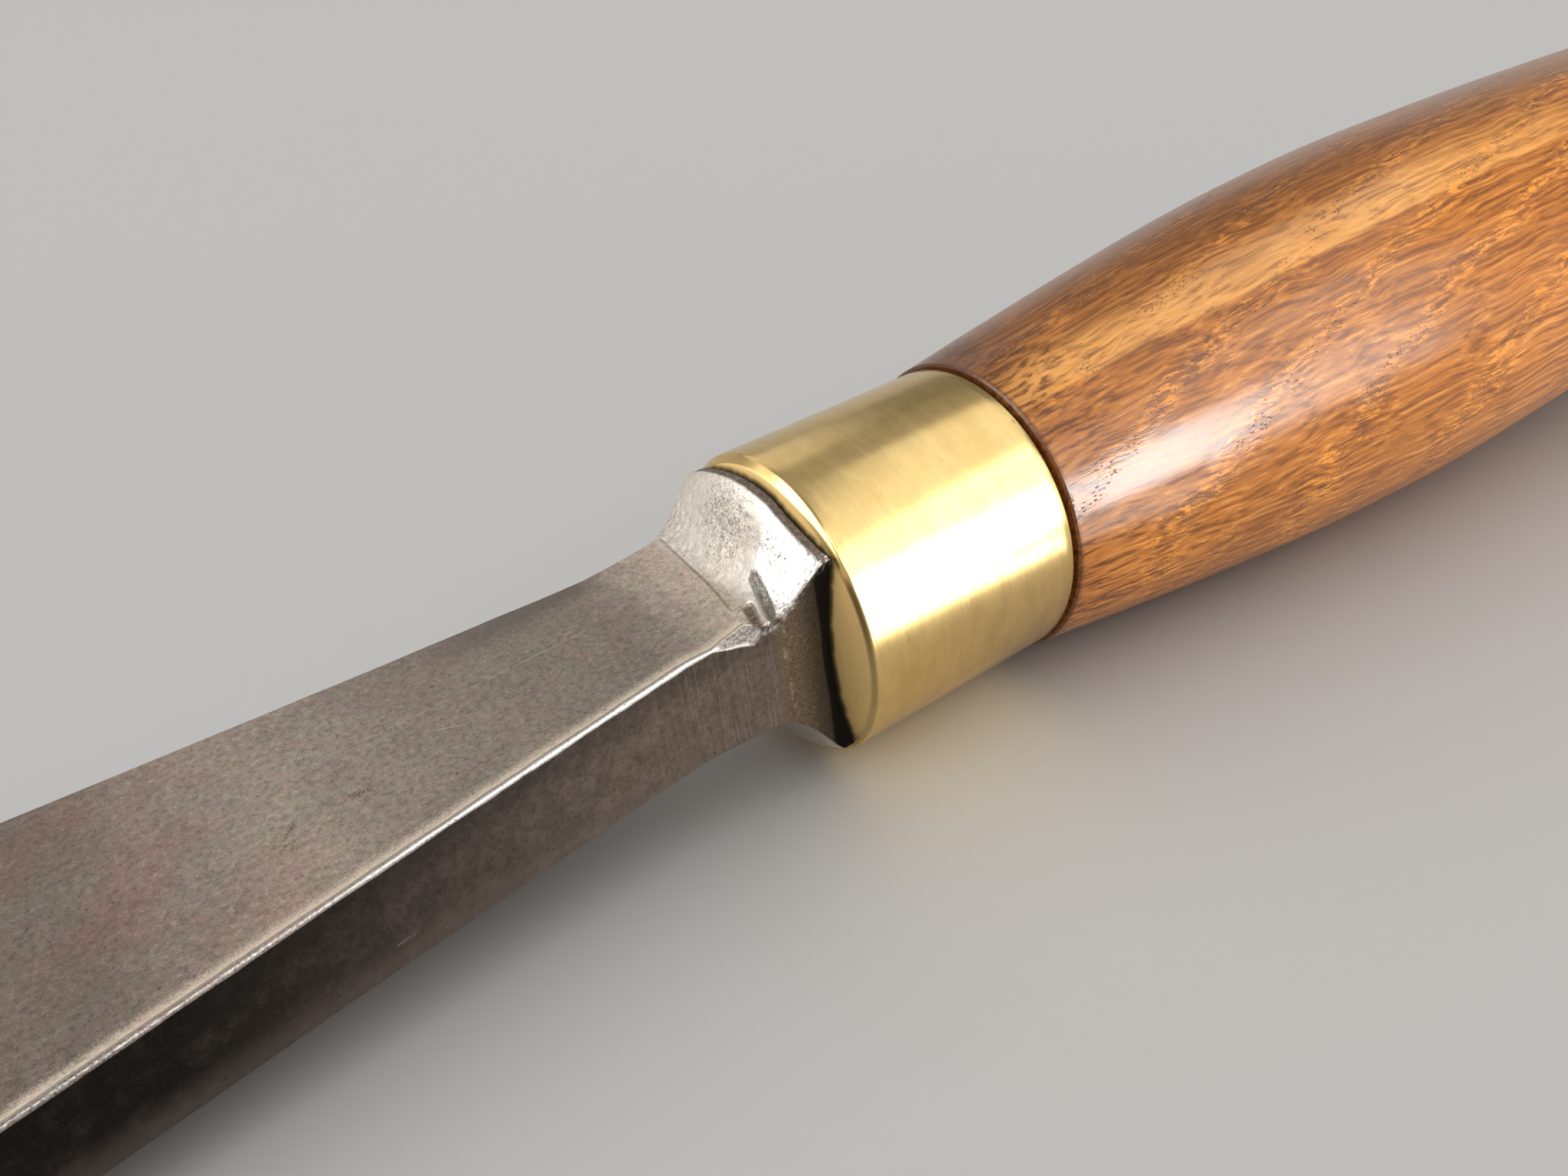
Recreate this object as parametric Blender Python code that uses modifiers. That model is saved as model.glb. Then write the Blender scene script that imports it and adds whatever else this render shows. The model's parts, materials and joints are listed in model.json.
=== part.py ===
"""A tang chisel lying on the bench, bevel side up: a forged blade, a brass ferrule and a turned handle.

Metres, +Z up. +X runs from the cutting edge to the butt. The tool lies on the plane z = 0 as it would on a
bench, tipped a little so that its cutting edge and its thick end both touch.
"""

import math

import bmesh
import bpy
from mathutils import Matrix, Vector

MM = 0.001

# Fit between pieces that touch
CLEARANCE = 0.3 * MM

# Blade, measured forward from the bolster's seat, which bears on the ferrule
BLADE_LENGTH = 92.0 * MM
EDGE_WIDTH = 38.0 * MM
EDGE_LAND = 0.1 * MM
BEVEL_ANGLE = math.radians(25.0)
NECK_SETBACK = 10.5 * MM
NECK_WIDTH = 13.6 * MM
NECK_THICKNESS = 7.7 * MM
SIDE_TAPER = 0.115
TOP_TAPER = math.radians(2.4)
TOP_ARRIS = 0.5 * MM
BACK_ARRIS = 0.2 * MM

# Bolster, a round collar with two flat sides, flaring out of the neck
FLARE_ROOT_WIDTH = 14.4 * MM
FLARE_LENGTH = 3.8 * MM
FLARE_COVE = 1.5
BOLSTER_WIDTH = 15.7 * MM
BOLSTER_CORNER = 7.5 * MM
BOLSTER_CROWN = 2.0 * MM
BOLSTER_RIM = 0.8 * MM

# Tang, a square spike
TANG_LENGTH = 62.0 * MM
TANG_ROOT = 8.5 * MM
TANG_TIP = 3.0 * MM
TANG_ARRIS = 0.4 * MM

# Height of the handle's axis above the blade's flat back
AXIS_HEIGHT = 3.5 * MM

# Ferrule, a turned cup with a hole in its closed front
FERRULE_DIAMETER = 22.0 * MM
FERRULE_LENGTH = 17.4 * MM
FERRULE_WALL = 1.5 * MM
FERRULE_FRONT = 2.0 * MM
FERRULE_EDGE = 0.5 * MM

# Handle, measured back from the ferrule
HANDLE_LENGTH = 125.0 * MM
SHOULDER_DIAMETER = 22.5 * MM
SHOULDER_CHAMFER = 0.4 * MM
SWELL_SETBACK = 53.0 * MM
SWELL_DIAMETER = 31.6 * MM
BUTT_DIAMETER = 28.4 * MM
BUTT_DOME = 12.0 * MM
MORTISE_RELIEF = 1.5 * MM

# Facets
TURNED_STEPS = 64
SWELL_POINTS = 14
DOME_POINTS = 9
EDGE_POINTS = 4
FACE_POINTS = 6
SIDE_STATIONS = 8
NECK_STATIONS = 3
FLARE_STATIONS = 6
SHARP_ANGLE = math.radians(30.0)


def clear_scene():
    """Remove what the scene starts with."""
    for obj in list(bpy.data.objects):
        bpy.data.objects.remove(obj, do_unlink=True)


def make_collection(name):
    """Add a collection to the scene."""
    made = bpy.data.collections.new(name)
    bpy.context.scene.collection.children.link(made)
    return made


def make_material(name, colour, roughness, metallic):
    """A plain Principled material."""
    material = bpy.data.materials.new(name)
    material.use_nodes = True
    shader = material.node_tree.nodes["Principled BSDF"]
    shader.inputs["Base Color"].default_value = (*colour, 1.0)
    shader.inputs["Roughness"].default_value = roughness
    shader.inputs["Metallic"].default_value = metallic
    return material


def object_from_bmesh(name, shape, collection, parent):
    """Turn a bmesh into a named object under its parent."""
    mesh = bpy.data.meshes.new(name)
    shape.to_mesh(mesh)
    shape.free()
    obj = bpy.data.objects.new(name, mesh)
    collection.objects.link(obj)
    obj.parent = parent
    return obj


def settle_shading(obj):
    """Apply the modifiers, then shade smooth with crisp edges past an angle."""
    bpy.context.view_layer.update()
    graph = bpy.context.evaluated_depsgraph_get()
    obj.data = bpy.data.meshes.new_from_object(obj.evaluated_get(graph))
    obj.data.name = obj.name
    obj.modifiers.clear()
    obj.data.shade_smooth()
    obj.data.set_sharp_from_angle(angle=SHARP_ANGLE)


def mix(start, end, share):
    """The value that lies a share of the way from start to end."""
    return start + (end - start) * share


def steps(count):
    """Shares from 0 to 1, both included, in equal steps."""
    return [i / count for i in range(count + 1)]


# Places along the tool, from the cutting edge at 0
NECK_AT = BLADE_LENGTH - NECK_SETBACK
RIM_AT = BLADE_LENGTH - BOLSTER_RIM
FLARE_AT = RIM_AT - FLARE_LENGTH
FERRULE_AT = BLADE_LENGTH + CLEARANCE
HANDLE_AT = FERRULE_AT + FERRULE_LENGTH + CLEARANCE


def blade_top(x):
    """Height of the top face over the flat back, thinning from the neck to the edge."""
    return NECK_THICKNESS + (x - NECK_AT) * math.tan(TOP_TAPER)


def bevel_heel():
    """Where the bevel, rising from the edge, meets the top face."""
    rise = math.tan(BEVEL_ANGLE) - math.tan(TOP_TAPER)
    return (blade_top(0.0) - EDGE_LAND) / rise


def blade_half_width(x):
    """Half the width of the blade: its sides leave the neck at a slope and bow out to the edge."""
    neck = NECK_WIDTH / 2
    if x > NECK_AT:
        return mix(neck, FLARE_ROOT_WIDTH / 2, ((x - NECK_AT) / (FLARE_AT - NECK_AT)) ** 2)
    reach = NECK_AT - x
    bow = (EDGE_WIDTH / 2 - neck - SIDE_TAPER * NECK_AT) / NECK_AT**2
    return neck + SIDE_TAPER * reach + bow * reach**2


def section(x, half_width, bottom, top, top_arris, back_arris, crown=0.0):
    """One ring of the forging: arched top and bottom, flat sides, and an arris at each corner."""
    across = [1 - 2 * share for share in steps(FACE_POINTS)]
    over = [(y * (half_width - top_arris), top + crown * (1 - y**2)) for y in across]
    right = [(-half_width, top - top_arris), (-half_width, bottom + back_arris)]
    under = [(-y * (half_width - back_arris), bottom - crown * (1 - y**2)) for y in across]
    left = [(half_width, bottom + back_arris), (half_width, top - top_arris)]
    return [Vector((x, y, z)) for y, z in over + right + under + left]


def plate_section(x):
    """A section of the blade between the heel of the bevel and the flare."""
    return section(x, blade_half_width(x), 0.0, blade_top(x), TOP_ARRIS, BACK_ARRIS)


def flare_section(share):
    """A section of the flare, from the neck's rectangle at 0 to the flat-sided round at 1."""
    x = mix(FLARE_AT, RIM_AT, share)
    rise = share**FLARE_COVE
    half_width = mix(FLARE_ROOT_WIDTH / 2, BOLSTER_WIDTH / 2, rise)
    top = mix(blade_top(x), AXIS_HEIGHT + BOLSTER_CORNER, rise)
    bottom = mix(0.0, AXIS_HEIGHT - BOLSTER_CORNER, rise)
    return section(x, half_width, bottom, top, TOP_ARRIS, BACK_ARRIS, BOLSTER_CROWN * rise)


def tang_half_side(depth):
    """Half the side of the tang, this far behind the bolster's seat."""
    return mix(TANG_ROOT, TANG_TIP, depth / TANG_LENGTH) / 2


def tang_section(depth):
    """A square section of the tang."""
    half = tang_half_side(depth)
    low, high = AXIS_HEIGHT - half, AXIS_HEIGHT + half
    return section(BLADE_LENGTH + depth, half, low, high, TANG_ARRIS, TANG_ARRIS)


def blade_sections():
    """Every ring of the forging, from the cutting edge to the tang's tip."""
    land_arris = EDGE_LAND / 4
    heel = bevel_heel()
    rings = [section(0.0, EDGE_WIDTH / 2, 0.0, EDGE_LAND, land_arris, land_arris)]
    for share in steps(SIDE_STATIONS):
        rings.append(plate_section(mix(heel, NECK_AT, share)))
    for share in steps(NECK_STATIONS)[1:-1]:
        rings.append(plate_section(mix(NECK_AT, FLARE_AT, share)))
    for share in steps(FLARE_STATIONS):
        rings.append(flare_section(share))
    seat = [Vector((BLADE_LENGTH, point.y, point.z)) for point in rings[-1]]
    return [*rings, seat, tang_section(0.0), tang_section(TANG_LENGTH)]


def loft(rings):
    """Skin a list of rings and close both ends."""
    shape = bmesh.new()
    rows = [[shape.verts.new(point) for point in ring] for ring in rings]
    count = len(rows[0])
    for near, far in zip(rows, rows[1:]):
        for i in range(count):
            j = (i + 1) % count
            shape.faces.new((near[i], near[j], far[j], far[i]))
    shape.faces.new(rows[0])
    shape.faces.new(rows[-1])
    bmesh.ops.recalc_face_normals(shape, faces=shape.faces)
    return shape


def turned(name, profile, closed, collection, parent):
    """Spin a profile of (radius, height) about its own Z, laid along the tool."""
    shape = bmesh.new()
    points = [shape.verts.new((radius, 0.0, height)) for radius, height in profile]
    for near, far in zip(points, points[1:]):
        shape.edges.new((near, far))
    if closed:
        shape.edges.new((points[-1], points[0]))
    obj = object_from_bmesh(name, shape, collection, parent)
    obj.rotation_euler = (0.0, math.pi / 2, 0.0)
    screw = obj.modifiers.new("Turned", "SCREW")
    screw.axis = "Z"
    screw.steps = TURNED_STEPS
    screw.render_steps = TURNED_STEPS
    screw.use_merge_vertices = True
    screw.merge_threshold = 0.01 * MM
    return obj


def ferrule_profile():
    """The cup's outline: down the outside from the rear, across the front, and back up the inside."""
    outer = FERRULE_DIAMETER / 2
    bore = outer - FERRULE_WALL
    hole = tang_half_side(0.0) * math.sqrt(2) + CLEARANCE
    profile = [(outer, FERRULE_LENGTH)]
    for share in steps(EDGE_POINTS):
        turn = share * math.pi / 2
        radius = outer - FERRULE_EDGE * (1 - math.cos(turn))
        profile.append((radius, FERRULE_EDGE * (1 - math.sin(turn))))
    profile += [(hole, 0.0), (hole, FERRULE_FRONT), (bore, FERRULE_FRONT), (bore, FERRULE_LENGTH)]
    return profile


def handle_radius(height):
    """The handle's outside: a quarter wave up to the swell, then a slower one down to the butt."""
    shoulder, swell, butt = SHOULDER_DIAMETER / 2, SWELL_DIAMETER / 2, BUTT_DIAMETER / 2
    if height < SWELL_SETBACK:
        return mix(shoulder, swell, math.sin(height / SWELL_SETBACK * math.pi / 2))
    share = (height - SWELL_SETBACK) / (HANDLE_LENGTH - BUTT_DOME - SWELL_SETBACK)
    return mix(butt, swell, math.cos(share * math.pi / 2))


def handle_profile():
    """The handle's outline, from the crown of the butt down to the end of its spigot."""
    dome_at = HANDLE_LENGTH - BUTT_DOME
    profile = []
    for share in steps(DOME_POINTS)[:-1]:
        turn = share * math.pi / 2
        profile.append((BUTT_DIAMETER / 2 * math.sin(turn), dome_at + BUTT_DOME * math.cos(turn)))
    for share in steps(SWELL_POINTS):
        height = mix(dome_at, SWELL_SETBACK, share)
        profile.append((handle_radius(height), height))
    for share in steps(SWELL_POINTS)[1:]:
        height = mix(SWELL_SETBACK, SHOULDER_CHAMFER, share)
        profile.append((handle_radius(height), height))
    spigot = FERRULE_DIAMETER / 2 - FERRULE_WALL - CLEARANCE
    spigot_end = FERRULE_FRONT - FERRULE_LENGTH
    profile.append((SHOULDER_DIAMETER / 2 - SHOULDER_CHAMFER, 0.0))
    profile += [(spigot, 0.0), (spigot, spigot_end), (0.0, spigot_end)]
    return profile


def bench_lie():
    """The tilt that lays the edge and the turned pieces on the bench, and the middle of the tool's length."""
    low_points = [(BLADE_LENGTH, BOLSTER_CORNER + BOLSTER_CROWN - AXIS_HEIGHT)]
    for start, profile in ((FERRULE_AT, ferrule_profile()), (HANDLE_AT, handle_profile())):
        low_points += [(start + height, radius - AXIS_HEIGHT) for radius, height in profile]
    tilt = max(math.atan2(drop, x) for x, drop in low_points)
    butt = max(x * math.cos(tilt) + drop * math.sin(tilt) for x, drop in low_points)
    edge = -EDGE_LAND * math.sin(tilt)
    return tilt, (butt + edge) / 2


def make_blade(collection, parent):
    """The forging: plate, neck, bolster and tang in one loft."""
    blade = object_from_bmesh("blade", loft(blade_sections()), collection, parent)
    blade.data.materials.append(make_material("blade_steel", (0.36, 0.34, 0.31), 0.45, 1.0))
    settle_shading(blade)
    return blade


def make_ferrule(collection, parent):
    """The brass cup that the bolster seats on."""
    ferrule = turned("ferrule", ferrule_profile(), True, collection, parent)
    ferrule.location = (FERRULE_AT, 0.0, AXIS_HEIGHT)
    ferrule.data.materials.append(make_material("ferrule_brass", (0.78, 0.60, 0.30), 0.3, 1.0))
    settle_shading(ferrule)
    return ferrule


def make_mortise_cutter(collection, parent):
    """A square spike, larger than the tang by the clearance all round."""
    mouth = HANDLE_AT - BLADE_LENGTH + FERRULE_FRONT - FERRULE_LENGTH - MORTISE_RELIEF
    depth = TANG_LENGTH + MORTISE_RELIEF
    shape = bmesh.new()
    bmesh.ops.create_cone(
        shape,
        cap_ends=True,
        segments=4,
        radius1=(tang_half_side(mouth) + CLEARANCE) * math.sqrt(2),
        radius2=(tang_half_side(depth) + CLEARANCE) * math.sqrt(2),
        depth=depth - mouth,
        matrix=Matrix.Rotation(math.pi / 4, 4, "Z"),
    )
    cutter = object_from_bmesh("mortise_cutter", shape, collection, parent)
    cutter.location = (BLADE_LENGTH + (mouth + depth) / 2, 0.0, AXIS_HEIGHT)
    cutter.rotation_euler = (0.0, math.pi / 2, 0.0)
    cutter.hide_render = True
    cutter.display_type = "WIRE"
    return cutter


def make_handle(collection, cutters, parent):
    """The turned handle: a spigot for the ferrule, with a mortise for the tang inside it."""
    handle = turned("handle", handle_profile(), False, collection, parent)
    handle.location = (HANDLE_AT, 0.0, AXIS_HEIGHT)
    mortise = handle.modifiers.new("Mortise", "BOOLEAN")
    mortise.operation = "DIFFERENCE"
    mortise.solver = "EXACT"
    mortise.object = make_mortise_cutter(cutters, parent)
    handle.data.materials.append(make_material("handle_wood", (0.40, 0.16, 0.06), 0.35, 0.0))
    settle_shading(handle)
    return handle


def main():
    """Build the chisel and lay it on the bench."""
    clear_scene()
    parts = make_collection("wood_chisel")
    cutters = make_collection("wood_chisel_cutters")
    tilt, middle = bench_lie()
    tool = bpy.data.objects.new("tool_axis", None)
    parts.objects.link(tool)
    tool.location = (-middle, 0.0, 0.0)
    tool.rotation_euler = (0.0, -tilt, 0.0)
    make_blade(parts, tool)
    make_ferrule(parts, tool)
    make_handle(parts, cutters, tool)


main()
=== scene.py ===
# %% [markdown]
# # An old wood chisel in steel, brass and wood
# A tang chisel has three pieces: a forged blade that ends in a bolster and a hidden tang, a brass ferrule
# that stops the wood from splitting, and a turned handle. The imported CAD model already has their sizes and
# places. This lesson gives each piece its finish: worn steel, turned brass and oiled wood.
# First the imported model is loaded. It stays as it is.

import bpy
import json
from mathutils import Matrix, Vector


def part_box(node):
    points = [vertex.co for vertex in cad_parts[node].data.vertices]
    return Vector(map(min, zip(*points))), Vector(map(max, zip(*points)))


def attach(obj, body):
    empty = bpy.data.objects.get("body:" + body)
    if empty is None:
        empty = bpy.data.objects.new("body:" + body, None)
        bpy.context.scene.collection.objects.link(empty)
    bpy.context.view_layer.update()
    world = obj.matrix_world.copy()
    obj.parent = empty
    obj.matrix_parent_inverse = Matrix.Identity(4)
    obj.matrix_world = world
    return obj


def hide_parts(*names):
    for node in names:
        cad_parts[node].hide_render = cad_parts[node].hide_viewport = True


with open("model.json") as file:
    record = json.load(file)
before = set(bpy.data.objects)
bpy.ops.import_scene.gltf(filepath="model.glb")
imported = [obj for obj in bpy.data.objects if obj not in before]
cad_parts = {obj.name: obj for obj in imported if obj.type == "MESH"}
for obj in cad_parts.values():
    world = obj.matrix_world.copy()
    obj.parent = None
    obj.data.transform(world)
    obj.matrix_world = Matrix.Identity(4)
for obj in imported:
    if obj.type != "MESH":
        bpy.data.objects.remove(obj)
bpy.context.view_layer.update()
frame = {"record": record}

# %% [markdown]
# ## The chisel's own frame
# The tool lies on the bench a little tipped, so its long axis isn't the world's X. A maker measures along
# the blade's flat back, in millimetres, so every shape below is drawn that way: x from the cutting edge
# towards the butt, z up from the flat back. One matrix then lays a finished mesh on the bench. The tilt
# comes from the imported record's own mount, the normal of the flat back, so it can't drift from the CAD.

# %% Lay out the tool frame
import json
import math

import bmesh
import bpy
import numpy as np
from mathutils import Matrix, Vector, noise

MM = 0.001
AXIS_HEIGHT = 3.5

back_normal = frame["record"]["mounts"][0]["axis"]
TILT = math.asin(back_normal[0])
EDGE_PLACE = Vector((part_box("blade")[0].x, 0.0, 0.0))
LAY = Matrix.Translation(EDGE_PLACE) @ Matrix.Rotation(-TILT, 4, "Y")
TOOL_TO_WORLD = LAY @ Matrix.Scale(MM, 4)
print("tilt on the bench:", round(math.degrees(TILT), 3), "degrees")

# %% [markdown]
# ## Camera
# The camera stands close to the ferrule, above the blade and to its side, and is rolled so that the tool
# runs up the picture. Its place and aim are given in the tool frame, because they were fitted to the round
# edges of the ferrule, and the same matrix brings them to the bench.

# %% Camera
CAMERA_PLACE = Vector((55.187, -62.881, 50.851))
CAMERA_AIM = Vector((91.452, -2.757, 6.591))
CAMERA_ROLL = math.radians(-8.61)
CAMERA_LENS = 29.127
SENSOR_WIDTH = 36.0


def camera_turn(place, aim, roll):
    """The rotation of a camera that looks from place to aim, rolled about its own line of sight."""
    look = (aim - place).normalized()
    level = look.cross(Vector((0.0, 0.0, 1.0))).normalized()
    right = level * math.cos(roll) + level.cross(look) * math.sin(roll)
    return Matrix((right, right.cross(look), -look)).transposed().to_4x4()


camera_data = bpy.data.cameras.new("portrait_camera")
camera_data.lens = CAMERA_LENS
camera_data.sensor_width = SENSOR_WIDTH
camera_data.clip_start = MM
camera = bpy.data.objects.new("portrait_camera", camera_data)
camera.matrix_world = (
    Matrix.Translation(TOOL_TO_WORLD @ CAMERA_PLACE)
    @ LAY.to_3x3().to_4x4()
    @ camera_turn(CAMERA_PLACE, CAMERA_AIM, CAMERA_ROLL)
)
bpy.context.scene.collection.objects.link(camera)
bpy.context.scene.camera = camera
bpy.context.scene.view_settings.view_transform = "Standard"
print("camera at", [round(v, 4) for v in camera.matrix_world.translation])

# %% [markdown]
# ## Nodes with few words
# Shader trees and geometry trees are built from the same parts: add a node, set its options, and either
# fill or link its inputs. One helper does all three. What a node puts out is wrapped in a small class that
# knows the signs of arithmetic, and each sign adds a Math node, so that the finishes below read as recipes.

# %% Node helpers


class Value:
    """What a node puts out, to be calculated with or linked."""

    def __init__(self, tree, socket):
        self.tree = tree
        self.socket = socket

    def __add__(self, other):
        return maths("ADD", self, other)

    def __sub__(self, other):
        return maths("SUBTRACT", self, other)

    def __rsub__(self, other):
        return maths("SUBTRACT", other, self)

    def __mul__(self, other):
        return maths("MULTIPLY", self, other)

    def __truediv__(self, other):
        return maths("DIVIDE", self, other)

    def __rtruediv__(self, other):
        return maths("DIVIDE", other, self)


def node(tree, kind, inputs=None, **options):
    """Add a node, set its options, and fill or link its inputs by name or number."""
    made = tree.nodes.new(kind)
    for name, value in options.items():
        setattr(made, name, value)
    for key, value in (inputs or {}).items():
        if isinstance(value, Value):
            tree.links.new(value.socket, made.inputs[key])
        else:
            made.inputs[key].default_value = value
    return made


def source(tree, kind, inputs=None, output=0, **options):
    """Add a node to a tree and return one of its outputs."""
    return Value(tree, node(tree, kind, inputs, **options).outputs[output])


def result(kind, inputs, output=0, **options):
    """Add a node to the tree that its linked inputs are in, and return one of its outputs."""
    tree = next(value.tree for value in inputs.values() if isinstance(value, Value))
    return source(tree, kind, inputs, output, **options)


# %% Recipe helpers


def maths(operation, first, second=0.0):
    """One Math node's result."""
    return result("ShaderNodeMath", {0: first, 1: second}, operation=operation)


def clamped(value):
    """Keep the result of a Math node between 0 and 1."""
    value.socket.node.use_clamp = True
    return value


def vector_maths(operation, first, second=(0.0, 0.0, 0.0), output="Vector"):
    """One Vector Math node's result."""
    return result("ShaderNodeVectorMath", {0: first, 1: second}, output, operation=operation)


def scaled(vector, factor):
    """A vector made longer, or a colour made lighter."""
    return result("ShaderNodeVectorMath", {0: vector, "Scale": factor}, operation="SCALE")


def split(vector):
    """The three parts of a vector."""
    made = node(vector.tree, "ShaderNodeSeparateXYZ", {0: vector})
    return [Value(vector.tree, part) for part in made.outputs]


def joined(x, y=0.0, z=0.0):
    """A vector made from its three parts."""
    return result("ShaderNodeCombineXYZ", {0: x, 1: y, 2: z})


def ease(value, low, high, start=0.0, end=1.0):
    """Go smoothly from start to end while value goes from low to high."""
    inputs = {"Value": value, "From Min": low, "From Max": high, "To Min": start, "To Max": end}
    return result("ShaderNodeMapRange", inputs, interpolation_type="SMOOTHSTEP")


def new_finish(name):
    """A material, with its tree and its main shader."""
    finish = bpy.data.materials.new(name)
    finish.use_nodes = True
    return finish, finish.node_tree, finish.node_tree.nodes["Principled BSDF"]


def inputs_of(tree):
    """What a tree is given, by name."""
    return {given.name: Value(tree, given) for given in node(tree, "NodeGroupInput").outputs}


# %% [markdown]
# ## Floor and light
# A plain pale floor and soft boxes show the metal best, because polished brass is only as good as what it
# reflects. The floor is a disc whose rim sweeps up like a photographer's paper, so no horizon shows. Each box
# is described by where it stands as seen from the ferrule. The key box and its brighter core stand low on the
# camera's right and make the long highlight on brass and wood, and the upper box carries it over the brass.
# The overhead box lights the arris, the left and flare boxes catch the bolster, and the back box is what the
# flat top of the blade reflects. Light linking keeps them off the floor, which has a wash of its own, so that
# the floor stays even and keeps only a soft shadow. The two key boxes leave the blade out too, because its
# flat top would throw them straight back, pure white, when it is seen from low on the other side. A small
# card on the floor, which the camera doesn't see, throws light up at the tool.

# %% Floor
FLOOR_COLOUR = (0.56, 0.55, 0.535, 1.0)
FLOOR_ROUGHNESS = 0.8
FLOOR_RADIUS = 1.4
SWEEP_RADIUS = 2.4
SWEEP_TURN = math.radians(60.0)
SWEEP_STEPS = 25
FLOOR_SIDES = 96


def turned_sheet(name, profile, sides):
    """An open sheet made by turning a profile of (radius, height) pairs about the upright axis."""
    turns = [2.0 * math.pi * i / sides for i in range(sides)]
    points = [(0.0, 0.0, profile[0][1])]
    points += [(r * math.cos(t), r * math.sin(t), h) for r, h in profile[1:] for t in turns]
    faces = [(0, 1 + i, 1 + (i + 1) % sides) for i in range(sides)]
    for row in range(len(profile) - 2):
        base = 1 + row * sides
        for i in range(sides):
            k = (i + 1) % sides
            faces.append((base + i, base + sides + i, base + sides + k, base + k))
    mesh = bpy.data.meshes.new(name)
    mesh.from_pydata(points, [], faces)
    mesh.shade_smooth()
    sheet = bpy.data.objects.new(name, mesh)
    bpy.context.scene.collection.objects.link(sheet)
    return sheet


sweep = [
    (FLOOR_RADIUS + SWEEP_RADIUS * math.sin(t), SWEEP_RADIUS * (1.0 - math.cos(t)))
    for t in np.linspace(0.0, SWEEP_TURN, SWEEP_STEPS)
]
floor = turned_sheet("floor", [(0.0, 0.0), *sweep], FLOOR_SIDES)
floor_paint, _, floor_shader = new_finish("floor_paint")
floor_shader.inputs["Base Color"].default_value = FLOOR_COLOUR
floor_shader.inputs["Roughness"].default_value = FLOOR_ROUGHNESS
floor.data.materials.append(floor_paint)
print("floor:", len(floor.data.polygons), "faces")

# %% Soft boxes
LIT_POINT = TOOL_TO_WORLD @ Vector((92.0, 0.0, AXIS_HEIGHT))
# Name, azimuth and elevation in degrees, distance, width and height in metres, and radiance.
LAMPS = [
    ("key_box", -58.0, 11.0, 1.10, 0.66, 0.55, 4.6),
    ("key_core", -63.0, 11.0, 1.06, 0.25, 0.47, 22.0),
    ("upper_box", -50.0, 36.0, 1.10, 0.66, 0.44, 2.6),
    ("pale_box", -14.0, 54.0, 1.10, 0.88, 0.48, 0.95),
    ("ceiling", 0.0, 90.0, 2.20, 3.50, 3.50, 0.20),
    ("overhead_box", -95.0, 54.0, 1.20, 0.86, 0.62, 2.5),
    ("left_box", 168.0, 31.0, 1.10, 0.92, 0.55, 4.2),
    ("flare_box", 138.0, 20.0, 1.12, 0.56, 0.56, 1.45),
    ("back_box", 89.0, 38.0, 1.60, 1.66, 0.80, 0.68),
]
KEY_LAMPS = ("key_box", "key_core")
FLOOR_WASH = ("floor_wash", 0.0, 90.0, 2.60, 9.00, 9.00, 0.85)


def area_lamp(name, width, height, radiance, stand):
    """A rectangular lamp that the camera doesn't see, placed by a matrix."""
    data = bpy.data.lights.new(name, "AREA")
    data.shape = "RECTANGLE"
    data.size, data.size_y = width, height
    data.energy = radiance * math.pi * width * height
    lamp = bpy.data.objects.new(name, data)
    lamp.matrix_world = stand
    lamp.visible_camera = False
    bpy.context.scene.collection.objects.link(lamp)
    return lamp


def soft_box(name, azimuth, elevation, distance, width, height, radiance):
    """A lamp that faces the ferrule from a direction in degrees."""
    turn, lift = math.radians(azimuth), math.radians(elevation)
    away = Vector((math.cos(turn) * math.cos(lift), math.sin(turn) * math.cos(lift), math.sin(lift)))
    facing = away.to_track_quat("Z", "Y").to_matrix().to_4x4()
    return area_lamp(name, width, height, radiance, Matrix.Translation(LIT_POINT + away * distance) @ facing)


def link_light(links, piece, state):
    """Take a piece into a light linking collection, to be lit or left out."""
    links.objects.link(piece)
    links.collection_objects[-1].light_linking.link_state = state


on_tool, off_blade, on_floor = [
    bpy.data.collections.new(name) for name in ("all_but_floor", "brass_and_wood", "floor_alone")
]
link_light(on_tool, floor, "EXCLUDE")
link_light(off_blade, floor, "EXCLUDE")
link_light(on_floor, floor, "INCLUDE")
for lamp in LAMPS:
    soft_box(*lamp).light_linking.receiver_collection = off_blade if lamp[0] in KEY_LAMPS else on_tool
soft_box(*FLOOR_WASH).light_linking.receiver_collection = on_floor

# %% Bounce card and sky
CARD_PLACE = (0.034, -0.094, 0.0005)
CARD_SIZE = (0.045, 0.09)
CARD_TURN = math.radians(38.0)
CARD_RADIANCE = 5.0
SKY = (0.22, 0.22, 0.22, 1.0)

face_up = Matrix.Rotation(CARD_TURN, 4, "Z") @ Matrix.Rotation(math.pi, 4, "X")
area_lamp("bounce_card", *CARD_SIZE, CARD_RADIANCE, Matrix.Translation(CARD_PLACE) @ face_up)

world = bpy.data.worlds.new("studio")
world.use_nodes = True
world.node_tree.nodes["Background"].inputs["Color"].default_value = SKY
bpy.context.scene.world = world

# %% [markdown]
# ## Blade: the outline
# The blade is one forging: a plate that widens to the cutting edge, a neck, a flare that opens into a
# round collar with two flat sides, and a square tang inside the handle. It could be a CAD mesh with a bump
# map, but the gouges, nicks and worn edges of an old tool show in its outline. So it is lofted from
# several hundred cross-sections, close together where the flare is, and then worn by moving its points.
# The first cell repeats the maker's sizes and says how wide and how thick the steel is at any x.

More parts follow.
